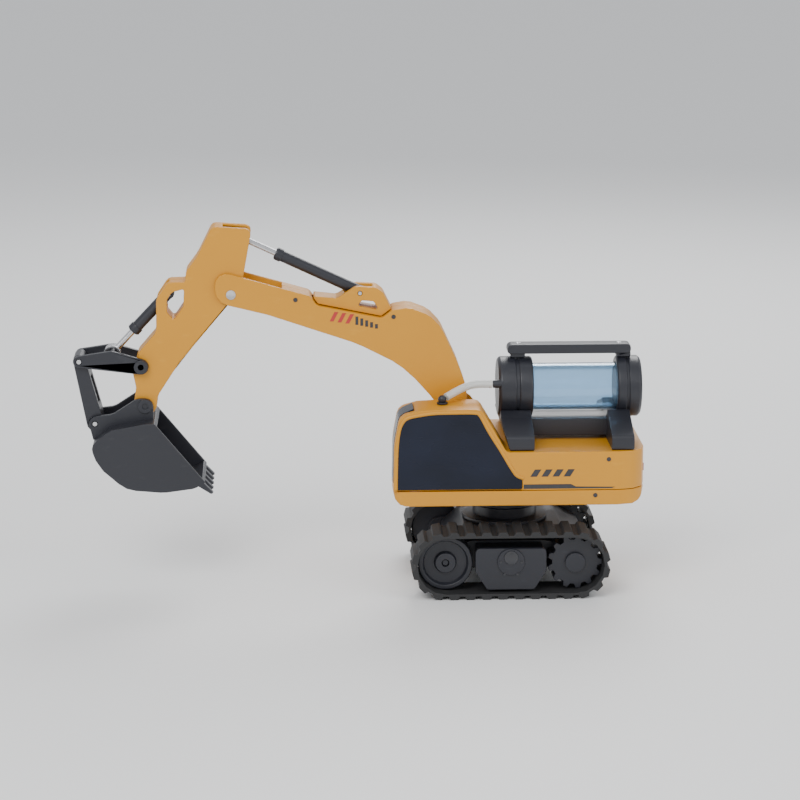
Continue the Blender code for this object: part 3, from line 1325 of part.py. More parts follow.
def hose(route, between=4):
    """The clear hose from the tank's nipple to the fitting on the cab roof, along one smooth curve."""
    places = [Vector(point) for point in route]
    ends = [2 * places[0] - places[1], *places, 2 * places[-1] - places[-2]]
    smooth = []
    for index in range(1, len(ends) - 2):
        before, here, there, after = ends[index - 1:index + 3]
        for step in range(between):
            t = step / between
            smooth.append(
                0.5 * (2 * here + (there - before) * t + (2 * before - 5 * here + 4 * there - after) * t * t
                       + (3 * here - before - 3 * there + after) * t ** 3)
            )
    smooth.append(places[-1])
    curve = bpy.data.curves.new("hose", "CURVE")
    curve.dimensions = "3D"
    curve.bevel_depth = HOSE_RADIUS
    curve.bevel_resolution = 3
    curve.use_fill_caps = True
    spline = curve.splines.new("POLY")
    spline.points.add(len(smooth) - 1)
    for point, place in zip(spline.points, smooth):
        point.co = (*place, 1.0)
    source = bpy.data.objects.new("hose_path", curve)
    bpy.context.scene.collection.objects.link(source)
    part("hose", baked(source), hose_clear)


def boom_motor():
    """The motor and gearbox that lift the boom, inside the low right-hand side of the body."""
    low = BAND_TOP + 0.0010
    inner = BAY_Y + WALL + 0.0015
    box = block((DECK_FRONT + 0.0050, inner, low), (DECK_FRONT + 0.0210, inner + 0.0150, low + 0.0150))
    made = part("boom_motor", box, white)
    can_z = low + 0.0075
    can_y = inner + 0.0075
    join(
        made, rod_between((DECK_FRONT + 0.0200, can_y, can_z), (DECK_FRONT + 0.0400, can_y, can_z), 0.0062),
    )


def circuit_board():
    low = BASE_FLOOR + 0.0030
    board = part("circuit_board", block((0.0450, -0.0300, low), (0.0760, 0.0300, low + 0.0016)), green)
    join(board, block((0.0500, -0.0200, low + 0.001), (0.0600, 0.0200, low + 0.0060)))
    for y in (-0.0260, 0.0260):
        join(
            board,
            rod_between((0.0600, y, BASE_FLOOR + GAP), (0.0600, y, low + 0.0008), 0.0020, segments=12),
        )


undercarriage()
swing_drive()
upper_base()
body_shell()
boom_foot()
circuit_board()
boom_motor()
boom()
dummy_cylinder(
    "stick_cylinder", BARREL_PIN, STICK_EYE, STICK_BARREL_LENGTH, STICK_ROD_LENGTH,
    CYLINDER_PIN_RADIUS + PIN_GAP,
)
pin("rod_eye_pin", STICK_EYE, EYE_WIDTH / 2 + 0.0006, CYLINDER_PIN_RADIUS)
stick()
dummy_cylinder("bucket_cylinder", BUCKET_BASE, LUG, BUCKET_BARREL_LENGTH, BUCKET_ROD_LENGTH, OPEN_BORE)
rocker()
bucket_link()
bucket()
tank()
bpy.context.view_layer.update()
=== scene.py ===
import bmesh
import bpy
import json
import math
from mathutils import Matrix, Vector

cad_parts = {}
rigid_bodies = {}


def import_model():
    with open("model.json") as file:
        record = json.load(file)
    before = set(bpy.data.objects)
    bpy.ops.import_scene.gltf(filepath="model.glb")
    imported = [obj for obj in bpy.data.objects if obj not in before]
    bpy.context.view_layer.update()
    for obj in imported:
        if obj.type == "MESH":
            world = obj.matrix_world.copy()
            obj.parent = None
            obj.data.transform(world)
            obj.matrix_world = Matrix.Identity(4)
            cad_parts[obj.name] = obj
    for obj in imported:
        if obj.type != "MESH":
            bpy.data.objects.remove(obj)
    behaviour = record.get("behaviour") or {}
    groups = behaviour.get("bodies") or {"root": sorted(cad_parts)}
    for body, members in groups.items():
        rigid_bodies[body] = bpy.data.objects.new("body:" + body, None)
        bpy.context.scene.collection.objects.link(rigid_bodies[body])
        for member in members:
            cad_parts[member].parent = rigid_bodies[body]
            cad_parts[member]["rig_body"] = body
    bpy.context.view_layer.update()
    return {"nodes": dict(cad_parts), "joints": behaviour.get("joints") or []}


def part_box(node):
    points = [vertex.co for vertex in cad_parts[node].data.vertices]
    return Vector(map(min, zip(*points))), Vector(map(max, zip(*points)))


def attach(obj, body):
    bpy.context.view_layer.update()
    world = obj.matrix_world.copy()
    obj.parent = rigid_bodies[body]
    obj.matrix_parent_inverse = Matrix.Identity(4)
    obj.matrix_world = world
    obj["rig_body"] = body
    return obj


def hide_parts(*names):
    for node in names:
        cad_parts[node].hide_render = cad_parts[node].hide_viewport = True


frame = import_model()

# ---------------------------------------------------------------- the room
# A pale seamless floor with a large soft lamp above and in front, a fill from the far side and a
# rim lamp behind. The camera looks at the machine's left side from slightly ahead and above.
swing_x = next(joint["pos_m"][0] for joint in frame["joints"] if joint["name"] == "swing")

floor_mesh = bpy.data.meshes.new("studio_floor")
floor_shape = bmesh.new()
bmesh.ops.create_grid(floor_shape, x_segments=2, y_segments=2, size=6.0)
floor_shape.to_mesh(floor_mesh)
floor_shape.free()
studio_floor = bpy.data.objects.new("studio_floor", floor_mesh)
bpy.context.scene.collection.objects.link(studio_floor)
floor_finish = bpy.data.materials.new("pale_floor")
floor_finish.use_nodes = True
floor_shader = floor_finish.node_tree.nodes["Principled BSDF"]
floor_shader.inputs["Base Color"].default_value = (0.86, 0.86, 0.85, 1.0)
floor_shader.inputs["Roughness"].default_value = 0.6
floor_mesh.materials.append(floor_finish)

for lamp_name, place, width, power in (
    ("key_softbox", (-0.55, -1.15, 1.25), 0.90, 17.0),
    ("fill_softbox", (1.10, -0.85, 0.70), 0.80, 5.0),
    ("rim_softbox", (0.30, 1.10, 1.00), 0.70, 10.0),
):
    lamp_data = bpy.data.lights.new(lamp_name, "AREA")
    lamp_data.size = width
    lamp_data.energy = power
    lamp = bpy.data.objects.new(lamp_name, lamp_data)
    lamp.location = place
    lamp.rotation_euler = (Vector((0.02, 0.0, 0.10)) - Vector(place)).to_track_quat("-Z", "Y").to_euler()
    bpy.context.scene.collection.objects.link(lamp)

room = bpy.data.worlds.new("studio_room")
room.use_nodes = True
room.node_tree.nodes["Background"].inputs["Color"].default_value = (0.94, 0.96, 1.0, 1.0)
room.node_tree.nodes["Background"].inputs["Strength"].default_value = 0.80
bpy.context.scene.world = room

camera_aim = Vector((swing_x - 0.0655, 0.0, 0.1130))
camera_turn = math.radians(-2.5)
camera_rise = math.radians(12.5)
camera_back = Vector((
    math.sin(camera_turn) * math.cos(camera_rise),
    -math.cos(camera_turn) * math.cos(camera_rise),
    math.sin(camera_rise),
))
camera_data = bpy.data.cameras.new("side_camera")
camera_data.lens = 130.4
camera_data.sensor_width = 36.0
side_camera = bpy.data.objects.new("side_camera", camera_data)
side_camera.location = camera_aim + camera_back * 1.8
side_camera.rotation_euler = (-camera_back).to_track_quat("-Z", "Y").to_euler()
bpy.context.scene.collection.objects.link(side_camera)
bpy.context.scene.camera = side_camera


# ---------------------------------------------------------------- orange body mouldings
# The tray, cab and deck, boom, bracket and stick are injection mouldings in amber ABS. The tool's
# face leaves a fine spark-eroded grain, the flow lines shade them faintly, and every outer edge is
# broken with a small radius.
class Amount:
    """A number that varies over a surface. Arithmetic on it adds Math nodes to its material."""

    def __init__(self, finish, socket):
        self.finish = finish
        self.socket = socket

    def worked(self, operation, first, second):
        return self.finish.node("ShaderNodeMath", {"operation": operation}, {0: first, 1: second})

    def __add__(self, other):
        return self.worked("ADD", self, other)

    def __radd__(self, other):
        return self.worked("ADD", other, self)

    def __sub__(self, other):
        return self.worked("SUBTRACT", self, other)

    def __rsub__(self, other):
        return self.worked("SUBTRACT", other, self)

    def __mul__(self, other):
        return self.worked("MULTIPLY", self, other)

    def __rmul__(self, other):
        return self.worked("MULTIPLY", other, self)


class Finish:
    """A material: constants sit on the shader's own sockets, and what varies is fed from nodes."""

    def __init__(self, name, colour, roughness, metallic=0.0, **constants):
        self.material = bpy.data.materials.new(name)
        self.material.use_nodes = True
        self.tree = self.material.node_tree
        self.shader = self.tree.nodes["Principled BSDF"]
        self.shader.inputs["Base Color"].default_value = (*colour, 1.0)
        self.shader.inputs["Roughness"].default_value = roughness
        self.shader.inputs["Metallic"].default_value = metallic
        for words, value in constants.items():
            socket = words.replace("_", " ").title().replace("Ior", "IOR")
            self.shader.inputs[socket].default_value = value

    def node(self, kind, settings=None, sockets=None, output=0):
        made = self.tree.nodes.new(kind)
        for words, value in (settings or {}).items():
            if words == "stops":
                for index, (place, shade) in enumerate(value):
                    stop = made.color_ramp.elements[index]
                    stop.position = place
                    stop.color = shade
            else:
                setattr(made, words, value)
        for socket, value in (sockets or {}).items():
            if isinstance(value, Amount):
                self.tree.links.new(value.socket, made.inputs[socket])
            else:
                made.inputs[socket].default_value = value
        return Amount(self, made.outputs[output])

    def place(self, stretch=(1.0, 1.0, 1.0)):
        here = self.node("ShaderNodeTexCoord", output="Object")
        if stretch == (1.0, 1.0, 1.0):
            return here
        return self.node("ShaderNodeMapping", None, {"Vector": here, "Scale": stretch})

    def noise(self, scale, detail=2.0, stretch=(1.0, 1.0, 1.0)):
        sockets = {"Vector": self.place(stretch), "Scale": scale, "Detail": detail}
        return self.node("ShaderNodeTexNoise", None, sockets)

    def ramp(self, factor, *stops):
        shades = [(place, (value, value, value, 1.0)) for place, value in stops]
        return self.node("ShaderNodeValToRGB", {"stops": shades}, {"Fac": factor})

    def blended(self, factor, first, second):
        sockets = {0: factor}
        for index, colour in ((6, first), (7, second)):
            sockets[index] = colour if isinstance(colour, Amount) else (*colour, 1.0)
        return self.node("ShaderNodeMix", {"data_type": "RGBA"}, sockets, output=2)

    def bumped(self, height, depth, strength=1.0):
        sockets = {"Height": height, "Distance": depth, "Strength": strength}
        self.feed("Normal", self.node("ShaderNodeBump", None, sockets))

    def feed(self, socket, amount):
        self.tree.links.new(amount.socket, self.shader.inputs[socket])


def moulded(name, colour, deep, pale, roughness, grain, grain_depth, **constants):
    """A moulded plastic: broad flow shading, a fine grain, a few pale handling marks."""
    made = Finish(name, colour, roughness, **constants)
    flow = made.noise(18.0, 3.0, (1.0, 1.0, 1.8))
    fine = made.noise(grain, 2.0)
    scuffs = made.ramp(made.noise(95.0, 5.0, (1.0, 0.35, 2.6)), (0.62, 0.0), (0.76, 1.0))
    shade = made.blended(flow * 0.55, colour, deep)
    made.feed("Base Color", made.blended(scuffs * 0.22, shade, pale))
    made.feed("Roughness", roughness - 0.07 + flow * 0.08 + fine * 0.07 + scuffs * 0.10)
    made.bumped(fine + scuffs * 0.15, grain_depth)
    return made.material


amber_plastic = moulded(
    "amber_plastic", (0.640, 0.280, 0.008), (0.530, 0.220, 0.006), (0.730, 0.380, 0.040),
    0.42, 1900.0, 0.000035, coat_weight=0.05, coat_roughness=0.30,
)


def settled(shape, name, body, finish, sharp=32.0, stands_for=()):
    """A finished piece from its mesh: shaded smooth between its edges and riding on its body."""
    mesh = bpy.data.meshes.new(name)
    shape.to_mesh(mesh)
    shape.free()
    mesh.materials.clear()
    mesh.materials.append(finish)
    mesh.shade_smooth()
    mesh.set_sharp_from_angle(angle=math.radians(sharp))
    made = bpy.data.objects.new(name, mesh)
    bpy.context.scene.collection.objects.link(made)
    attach(made, body)
    if stands_for:
        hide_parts(*stands_for)
    return made


def rounded_off(shape, width, segments=2, angle=35.0):
    """Breaks the outer edges of a closed shape with a small radius."""
    edges = [
        edge for edge in shape.edges
        if edge.is_manifold and edge.is_convex and edge.calc_face_angle() > math.radians(angle)
    ]
    bmesh.ops.bevel(
        shape, geom=edges, offset=width, offset_type="OFFSET", affect="EDGES", segments=segments,
        profile=0.5, material=-1, clamp_overlap=False, loop_slide=True,
    )


def faired(piece):
    """Flat faces keep their own direction, so only the rounded edges turn the light."""
    weighting = piece.modifiers.new("weighting", "WEIGHTED_NORMAL")
    weighting.weight = 100
    weighting.keep_sharp = True
    return piece


def outline_of(node):
    """A welded copy of the shape of the piece of that name."""
    shape = bmesh.new()
    shape.from_mesh(frame["nodes"][node].data)
    bmesh.ops.remove_doubles(shape, verts=shape.verts, dist=0.000002)
    return shape


def body_with(node):
    """The moving body that the piece of that name belongs to."""
    return frame["nodes"][node]["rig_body"]


def softened(node, finish, width):
    """The piece of that name with its outer edges broken."""
    low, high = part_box(node)
    shape = outline_of(node)
    bmesh.ops.dissolve_limit(shape, angle_limit=math.radians(0.6), verts=shape.verts, edges=shape.edges)
    rounded_off(shape, width)
    for vert in shape.verts:
        vert.co = [min(max(value, least), most) for value, least, most in zip(vert.co, low, high)]
    return faired(settled(shape, f"{node}_moulding", body_with(node), finish, stands_for=(node,)))


for node, width in (
    ("upper_base", 0.0008), ("body_shell", 0.0005), ("boom_foot_bracket", 0.0002), ("boom_half_left", 0.0008),
    ("boom_half_right", 0.0008), ("cylinder_bracket", 0.0006), ("stick_half_left", 0.0007),
    ("stick_half_right", 0.0007), ("power_switch", 0.0003),
):
    softened(node, amber_plastic, width)


# ---------------------------------------------------------------- cab glazing and its bead
# The cab has no real glass: a gloss blue-black panel is pressed into the moulding's side, another
# wraps over its front, and a half-round orange bead frames the side panel.
glazing = Finish("gloss_glazing", (0.010, 0.012, 0.020), 0.26)
glazing.shader.inputs["Specular IOR Level"].default_value = 0.18
# Painted sheen: broad lighter blue patches in the panel's base colour stand in for reflections; the same
# noise also varies its roughness.
painted_sheen = glazing.noise(26.0, 3.0, (1.0, 1.0, 1.4))
smears = glazing.ramp(glazing.noise(60.0, 4.0, (0.5, 1.0, 2.2)), (0.55, 0.0), (0.80, 1.0))
glazing.feed("Base Color", glazing.blended(painted_sheen * 0.8, (0.008, 0.009, 0.014), (0.018, 0.024, 0.046)))
glazing.feed("Roughness", 0.20 + painted_sheen * 0.12 + smears * 0.12)
softened("cab_front_window", glazing.material, 0.0002)
settled(
    outline_of("cab_side_window"), "cab_side_panel", body_with("cab_side_window"), glazing.material,
    sharp=1.0, stands_for=("cab_side_window",),
)


def strip_along(points, profile_radius, normal_y, name, body, finish, lift, segments=6):
    """A half-round bead that follows a line of (x, z) points on a flat side."""
    curve = bpy.data.curves.new(name, "CURVE")
    curve.dimensions = "3D"
    curve.bevel_depth = profile_radius
    curve.bevel_resolution = segments
    curve.use_fill_caps = True
    spline = curve.splines.new("POLY")
    spline.points.add(len(points) - 1)
    for point, (x, z) in zip(spline.points, points):
        point.co = (x + swing_x, normal_y, z, 1.0)
    holder = bpy.data.objects.new(name + "_line", curve)
    bpy.context.scene.collection.objects.link(holder)
    bpy.context.view_layer.update()
    mesh = bpy.data.meshes.new_from_object(holder.evaluated_get(bpy.context.evaluated_depsgraph_get()))
    bpy.data.objects.remove(holder)
    shape = bmesh.new()
    shape.from_mesh(mesh)
    bmesh.ops.remove_doubles(shape, verts=shape.verts, dist=0.000002)
    bmesh.ops.scale(
        shape, verts=shape.verts, vec=(1.0, lift / profile_radius, 1.0),
        space=Matrix.Translation((0.0, -normal_y, 0.0)),
    )
    bmesh.ops.recalc_face_normals(shape, faces=shape.faces)
    return settled(shape, name, body, finish, sharp=60.0)


def through(points, between=6):
    """A smooth line through a few (x, z) points."""
    places = [Vector(point) for point in points]
    ends = [2 * places[0] - places[1], *places, 2 * places[-1] - places[-2]]
    line = []
    for index in range(1, len(ends) - 2):
        before, here, there, after = ends[index - 1:index + 3]
        for step in range(between):
            t = step / between
            line.append(0.5 * (
                2 * here + (there - before) * t + (2 * before - 5 * here + 4 * there - after) * t * t
                + (3 * here - before - 3 * there + after) * t ** 3
            ))
    line.append(places[-1])
    return line


cab_side_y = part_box("body_shell")[0].y
bead_line = through([
    (-0.0700, 0.0672), (-0.0698, 0.0800), (-0.0694, 0.0930), (-0.0682, 0.1030), (-0.0662, 0.1086),
    (-0.0628, 0.1118), (-0.0560, 0.1134), (-0.0470, 0.1146), (-0.0330, 0.1149), (-0.0225, 0.1147),
    (-0.0188, 0.1130), (-0.0130, 0.1024), (-0.0058, 0.0908), (0.0008, 0.0795), (0.0040, 0.0752),
    (0.0078, 0.0735),
])
strip_along(
    bead_line, 0.0011, cab_side_y, "cab_side_bead", "upper_body", amber_plastic, 0.0008,
)


# ---------------------------------------------------------------- black mouldings
# The bucket, its linkage, the dummy cylinders, the tank's cradle, caps and handle and the side
# frames are the same ABS in near-black, with a slightly duller grain than the orange pieces.
black_plastic = moulded(
    "black_plastic", (0.016, 0.017, 0.024), (0.009, 0.010, 0.014), (0.060, 0.062, 0.070),
    0.40, 1700.0, 0.000035, coat_weight=0.10, coat_roughness=0.30,
)
for node, width in (
    ("bucket", 0.0005), ("bucket_rocker", 0.0005), ("bucket_link", 0.0005), ("stick_cylinder_barrel", 0.0004),
    ("bucket_cylinder_barrel", 0.0004), ("tank_cradle", 0.0006), ("tank_handle", 0.0008),
    ("turntable", 0.0004),
    ("chassis_frame", 0.0005), ("belly_cover", 0.0003), ("track_frame_left", 0.0006),
    ("track_frame_right", 0.0006), ("drive_sprocket_left", 0.0003), ("drive_sprocket_right", 0.0003),
    ("idler_wheel_left", 0.0004), ("idler_wheel_right", 0.0004), ("track_roller_left_front", 0.0003),
    ("track_roller_left_rear", 0.0003), ("track_roller_right_front", 0.0003),
    ("track_roller_right_rear", 0.0003), ("tank_front_cap", 0.0006),
):
    softened(node, black_plastic, width)

# The rear cap's end is dished in two steps inside its rim, as a screwed filler cap is.
rear_cap = outline_of("tank_rear_cap")
bmesh.ops.dissolve_limit(rear_cap, angle_limit=math.radians(0.6), verts=rear_cap.verts, edges=rear_cap.edges)
rearward = [face for face in rear_cap.faces if face.normal.x > 0.99]
cap_end = max(rearward, key=lambda face: face.calc_center_median().x)
for rim, sink in ((0.0028, 0.0), (0.0004, -0.0009), (0.0060, 0.0), (0.0004, 0.0007)):
    bmesh.ops.inset_region(rear_cap, faces=[cap_end], thickness=rim, depth=sink)
rounded_off(rear_cap, 0.0004)
faired(settled(
    rear_cap, "tank_rear_cap_moulding", body_with("tank_rear_cap"), black_plastic,
    stands_for=("tank_rear_cap",),
))


# ---------------------------------------------------------------- rubber tracks
# Each track is one soft black belt moulded with its grouser pads. The rubber is dull, dusty in its
# hollows and rubbed paler where the pads meet the ground.
track_rubber = moulded(
    "track_rubber", (0.021, 0.021, 0.022), (0.012, 0.012, 0.013), (0.095, 0.090, 0.082),
    0.66, 900.0, 0.000080,
)
for side in ("left", "right"):
    softened(f"track_belt_{side}", track_rubber, 0.0004)


# ---------------------------------------------------------------- steel pins, rods and axles
# Pins, axles and piston rods are bright turned steel with faint lines round them from the tool and
# a little brown at rest in the corners.
turned_steel = Finish("turned_steel", (0.60, 0.60, 0.61), 0.28, metallic=1.0)
tool_lines = turned_steel.noise(420.0, 2.0, (1.0, 0.15, 1.0))
staining = turned_steel.ramp(turned_steel.noise(110.0, 4.0), (0.58, 0.0), (0.78, 1.0))
turned_steel.feed("Base Color", turned_steel.blended(staining * 0.5, (0.62, 0.62, 0.63), (0.34, 0.27, 0.20)))
turned_steel.feed("Roughness", 0.20 + tool_lines * 0.16 + staining * 0.22)
turned_steel.bumped(tool_lines, 0.000015)
for node in (
    "boom_foot_shaft", "barrel_pin", "stick_pin", "rocker_pin", "bucket_pin", "bucket_cylinder_pin",
    "link_pin", "rod_eye_pin", "rear_ear_pin", "stick_cylinder_rod", "bucket_cylinder_rod", "drive_axle_left",
    "drive_axle_right",
):
    softened(node, turned_steel.material, 0.0002)


# ---------------------------------------------------------------- the tank's clear tube and its hose
# The tank is a clear blue-tinted tube pressed between its caps. A milky soft hose leaves a stub on
# the front cap and runs forward to a nozzle beside the boom's foot.
clear_tube = Finish(
    "clear_tube", (0.56, 0.76, 0.92), 0.06, transmission_weight=0.92, ior=1.46, coat_weight=0.3,
)
handling = clear_tube.ramp(clear_tube.noise(70.0, 4.0, (0.4, 1.0, 1.0)), (0.50, 0.0), (0.80, 1.0))
streaks = clear_tube.noise(30.0, 3.0, (0.15, 1.0, 1.0))
clear_tube.feed("Base Color", clear_tube.blended(streaks, (0.62, 0.80, 0.94), (0.46, 0.68, 0.90)))
clear_tube.feed("Roughness", 0.04 + handling * 0.14)
softened("tank_tube", clear_tube.material, 0.0002)

milky_hose = Finish(
    "milky_hose", (0.82, 0.83, 0.80), 0.34, transmission_weight=0.35, ior=1.42, subsurface_weight=0.25,
)
milky_hose.shader.inputs["Subsurface Radius"].default_value = (0.004, 0.004, 0.004)
cloud = milky_hose.noise(140.0, 3.0)
milky_hose.feed("Base Color", milky_hose.blended(cloud, (0.86, 0.86, 0.83), (0.70, 0.73, 0.71)))
milky_hose.feed("Roughness", 0.27 + cloud * 0.16)
milky_hose.bumped(cloud, 0.00005)
hose_shape = outline_of("hose")
bmesh.ops.recalc_face_normals(hose_shape, faces=hose_shape.faces)
crease = hose_shape.edges.layers.float.new("crease_edge")
for edge in hose_shape.edges:
    if edge.is_manifold and edge.calc_face_angle() > math.radians(55.0):
        edge[crease] = 1.0
soft_hose = settled(
    hose_shape, "soft_hose", body_with("hose"), milky_hose.material, sharp=60.0,
    stands_for=("hose",),
)
rounder = soft_hose.modifiers.new("rounder", "SUBSURF")
rounder.levels = 2
rounder.render_levels = 2
softened("hose_fitting", black_plastic, 0.0003)


# ---------------------------------------------------------------- motors, gears, board and battery
# Inside, small motors sit in nylon gearcases, a brown-edged green board carries the receiver, and
# the battery is a pack shrunk into a printed sleeve.
gear_nylon = moulded(
    "gear_nylon", (0.78, 0.77, 0.71), (0.66, 0.64, 0.56), (0.86, 0.85, 0.80), 0.42, 1400.0, 0.00003,
)
motor_can = Finish("motor_can", (0.52, 0.53, 0.54), 0.34, metallic=1.0)
plating = motor_can.noise(160.0, 3.0)
motor_can.feed("Base Color", motor_can.blended(plating, (0.58, 0.59, 0.60), (0.42, 0.42, 0.40)))
motor_can.feed("Roughness", 0.26 + plating * 0.18)
motor_can.bumped(plating, 0.00002)
board_green = Finish("board_green", (0.020, 0.110, 0.035), 0.38, coat_weight=0.5)
traces = board_green.ramp(board_green.noise(240.0, 1.0, (1.0, 4.0, 1.0)), (0.47, 0.0), (0.53, 1.0))
board_green.feed("Base Color", board_green.blended(traces, (0.016, 0.090, 0.030), (0.040, 0.180, 0.060)))
board_green.feed("Roughness", 0.30 + traces * 0.16)
board_green.bumped(traces, 0.00004)
battery_wrap = moulded(
    "battery_wrap", (0.020, 0.070, 0.230), (0.012, 0.045, 0.160), (0.20, 0.26, 0.40), 0.24, 500.0, 0.00005,
    coat_weight=0.4,
)
for node, finish, slot in (
    ("swing_gear", gear_nylon, "gear_nylon"), ("swing_pinion", gear_nylon, "gear_nylon"),
    ("drive_gearbox_left", gear_nylon, "gear_nylon"), ("drive_gearbox_right", gear_nylon, "gear_nylon"),
    ("swing_motor", gear_nylon, "gear_nylon"), ("boom_motor", gear_nylon, "gear_nylon"),
    ("stick_motor", motor_can.material, "motor_can"), ("circuit_board", board_green.material, "board_green"),
    ("battery_pack", battery_wrap, "battery_wrap"),
):
    softened(node, finish, 0.0003)


# ---------------------------------------------------------------- printed marks and the stepped stripe
# The stripe along the tray is a black film with a stepped end. The deck's side carries plain black
# bars, and each side of the boom has slanted red strokes between black bars.
def plate(shape, outline, side_y, thickness, outward):
    """A flat film of an (x, z) outline lying on a side face."""
    corners = [shape.verts.new((x + swing_x, side_y, z)) for x, z in outline]
    face = shape.faces.new(corners)
    grown = bmesh.ops.extrude_face_region(shape, geom=[face])
    lifted = [item for item in grown["geom"] if isinstance(item, bmesh.types.BMVert)]
    bmesh.ops.translate(shape, verts=lifted, vec=(0.0, outward * thickness, 0.0))
    bmesh.ops.recalc_face_normals(shape, faces=shape.faces)


black_film = Finish("black_film", (0.012, 0.012, 0.014), 0.30, coat_weight=0.3)
film_wear = black_film.noise(220.0, 4.0)
black_film.feed("Base Color", black_film.blended(film_wear, (0.010, 0.010, 0.012), (0.030, 0.030, 0.034)))
black_film.feed("Roughness", 0.22 + film_wear * 0.20)
red_film = Finish("red_film", (0.48, 0.020, 0.016), 0.32, coat_weight=0.3)
red_wear = red_film.noise(220.0, 4.0)
red_film.feed("Base Color", red_film.blended(red_wear, (0.50, 0.020, 0.016), (0.36, 0.014, 0.012)))
red_film.feed("Roughness", 0.24 + red_wear * 0.18)

film_lift = 0.00012
side_faces = ((-1.0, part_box("body_shell")[0].y, "left"), (1.0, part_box("body_shell")[1].y, "right"))
for outward, side_y, side in side_faces:
    stripe = bmesh.new()
    plate(stripe, [
        (0.0080, 0.0669), (0.0620, 0.0669), (0.0640, 0.0677), (0.0400, 0.0681), (0.0370, 0.0697),
        (0.0080, 0.0697),
    ], side_y, film_lift, outward)
    for column in range(4):
        left_end = 0.0120 + column * 0.0068
        plate(stripe, [
            (left_end, 0.0745), (left_end + 0.0040, 0.0745), (left_end + 0.0068, 0.0790),
            (left_end + 0.0028, 0.0790),
        ], side_y, film_lift, outward)
    settled(stripe, f"deck_marks_{side}", "upper_body", black_film.material)


def stroke(start, end, half):
    """The outline of a slanted stroke between two (x, z) places, `half` wide to each side along X."""
    (x0, z0), (x1, z1) = start, end
    return [(x0 - half, z0), (x0 + half, z0), (x1 + half, z1), (x1 - half, z1)]


for outward, node, side in ((-1.0, "boom_half_left", "left"), (1.0, "boom_half_right", "right")):
    side_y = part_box(node)[0].y if outward < 0 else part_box(node)[1].y
    red_strokes = bmesh.new()
    for index in range(3):
        foot = -0.1080 + index * 0.0048
        base = 0.1655 - index * 0.0007
        slant = stroke((foot, base), (foot + 0.0030, base + 0.0058), 0.0012)
        plate(red_strokes, slant, side_y, film_lift, outward)
    settled(red_strokes, f"boom_red_strokes_{side}", "boom", red_film.material)
    black_bars = bmesh.new()
    for index in range(5):
        foot = -0.0925 + index * 0.0030
        base = 0.1632 - index * 0.0006
        top = base + 0.0052 - 0.0006 * index
        plate(black_bars, stroke((foot, base), (foot, top), 0.0009), side_y, film_lift, outward)
    settled(black_bars, f"boom_black_bars_{side}", "boom", black_film.material)


# ---------------------------------------------------------------- screws, hub discs and pin heads
# Countersunk cross screws close the mouldings, and round caps cover the ends of the wheels' axles
# and the pivots. All are set into or on the faces they hold.
def button(shape, x, z, side_y, radius, height, outward, socket=0.0):
    """A round head standing on a side face, with an optional round socket in it."""
    turned = Matrix.Translation((x + swing_x, side_y + outward * height / 2, z)) @ Matrix.Rotation(
        math.radians(90.0 * outward), 4, "X"
    )
    made = bmesh.ops.create_cone(
        shape, cap_ends=True, segments=40, radius1=radius * 0.93, radius2=radius, depth=height, matrix=turned,
    )
    if socket:
        caps = {
            face for vert in made["verts"] for face in vert.link_faces
            if len(face.verts) > 4 and outward * (face.calc_center_median().y - side_y) > height * 0.5
        }
        for cap in caps:
            bmesh.ops.inset_region(shape, faces=[cap], thickness=radius - socket, depth=0.0)
            bmesh.ops.translate(shape, verts=list(cap.verts), vec=(0.0, -outward * height * 0.7, 0.0))
    bmesh.ops.recalc_face_normals(shape, faces=shape.faces)


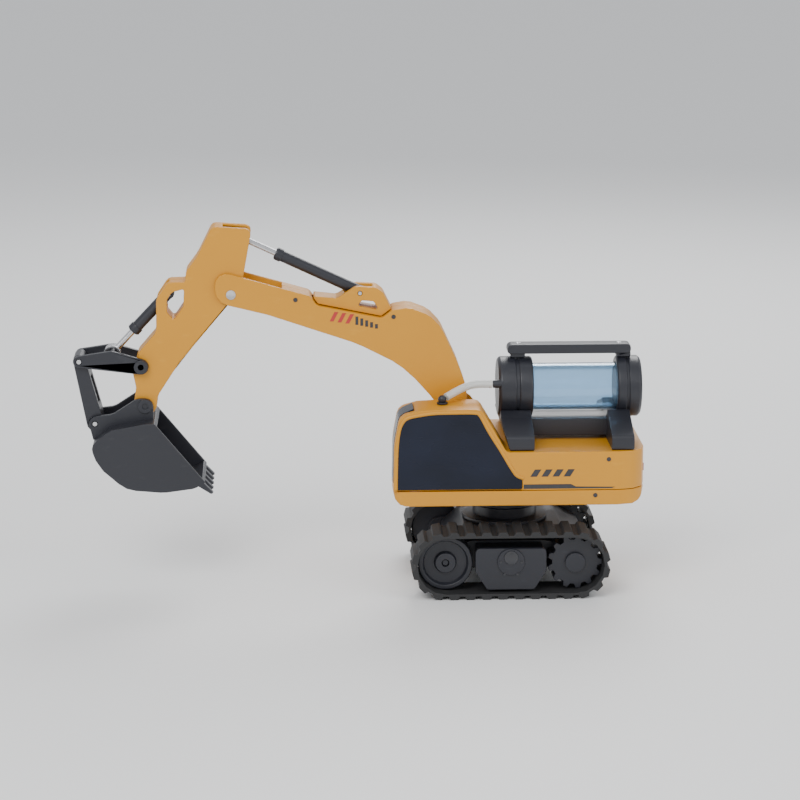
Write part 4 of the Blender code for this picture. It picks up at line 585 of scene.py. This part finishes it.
dark_head = moulded(
    "dark_head", (0.030, 0.031, 0.036), (0.016, 0.017, 0.020), (0.100, 0.100, 0.110), 0.30, 900.0, 0.00003,
    coat_weight=0.2,
)
for outward, side in ((-1.0, "left"), (1.0, "right")):
    frame_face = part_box(f"track_frame_{side}")[0 if outward < 0 else 1].y
    hub_covers = bmesh.new()
    button(hub_covers, 0.0, 0.0262, frame_face, 0.0045, 0.0006, outward, 0.0026)
    for bolt in range(5):
        spin = math.radians(72.0 * bolt + 18.0)
        button(
            hub_covers, 0.0068 * math.cos(spin), 0.0212 + 0.0068 * math.sin(spin), frame_face, 0.0008,
            0.0005, outward,
        )
    settled(hub_covers, f"side_frame_bolts_{side}", "undercarriage", dark_head)
    stick_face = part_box(f"stick_half_{side}")[0 if outward < 0 else 1].y
    boom_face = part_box(f"boom_half_{side}")[0 if outward < 0 else 1].y
    deck_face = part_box("body_shell")[0 if outward < 0 else 1].y
    boom_screws = bmesh.new()
    for x, z in ((-0.0700, 0.1680), (-0.1300, 0.1790)):
        button(boom_screws, x, z, boom_face, 0.0014, 0.0003, outward, 0.0007)
    settled(boom_screws, f"boom_screws_{side}", "boom", dark_head)
    nose_disc = bmesh.new()
    button(nose_disc, -0.1694, 0.1824, boom_face, 0.0031, 0.0005, outward, 0.0016)
    settled(nose_disc, f"stick_pin_head_{side}", "boom", turned_steel.material)
    deck_screws = bmesh.new()
    for x, z in ((0.0600, 0.0850), (0.0520, 0.0625)):
        button(deck_screws, x, z, deck_face, 0.0014, 0.0003, outward, 0.0007)
    settled(deck_screws, f"deck_screws_{side}", "upper_body", dark_head)


# ---------------------------------------------------------------- handle screws
# Two domed steel screws hold the handle's bar down to its posts from above.
handle_low, handle_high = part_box("tank_handle")
handle_screws = bmesh.new()
for place_x in (handle_low.x + 0.0070, handle_high.x - 0.0070):
    bmesh.ops.create_cone(
        handle_screws, cap_ends=True, segments=32, radius1=0.0017, radius2=0.0014, depth=0.0005,
        matrix=Matrix.Translation((place_x, 0.0, handle_high.z + 0.0002)),
    )
settled(handle_screws, "handle_screws", "upper_body", turned_steel.material)


# ---------------------------------------------------------------- rear lights and cooling slots
# Low on the tail two red lenses sit flush in the moulding, and the right side has a row of shallow
# cooling slots, drawn as flat black film strips that are painted shade for the slots' hollows.
light_lens = Finish("light_lens", (0.42, 0.012, 0.010), 0.12, coat_weight=0.8)
prism = light_lens.noise(700.0, 1.0, (1.0, 1.0, 0.2))
light_lens.feed("Base Color", light_lens.blended(prism, (0.50, 0.014, 0.012), (0.26, 0.008, 0.008)))
light_lens.feed("Roughness", 0.08 + prism * 0.12)
light_lens.bumped(prism, 0.0001)
tail_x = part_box("body_shell")[1].x
tail_lights = bmesh.new()
lens_size = Matrix.Diagonal((0.0007, 0.0110, 0.0045, 1.0))
for middle in (-0.0240, 0.0240):
    bmesh.ops.create_cube(
        tail_lights, size=1.0,
        matrix=Matrix.Translation((tail_x + 0.00015, middle, 0.0760)) @ lens_size,
    )
settled(tail_lights, "tail_lights", "upper_body", light_lens.material)
# Painted shade: flat black strips on the side stand in for the shade inside the shallow cooling slots.
cooling_slot_shade = bmesh.new()
for row in range(5):
    low = 0.0740 + row * 0.0024
    plate(cooling_slot_shade, [
        (0.0470, low), (0.0640, low), (0.0640, low + 0.0011), (0.0470, low + 0.0011),
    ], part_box("body_shell")[1].y, film_lift, 1.0)
settled(cooling_slot_shade, "cooling_slot_shade", "upper_body", black_film.material)
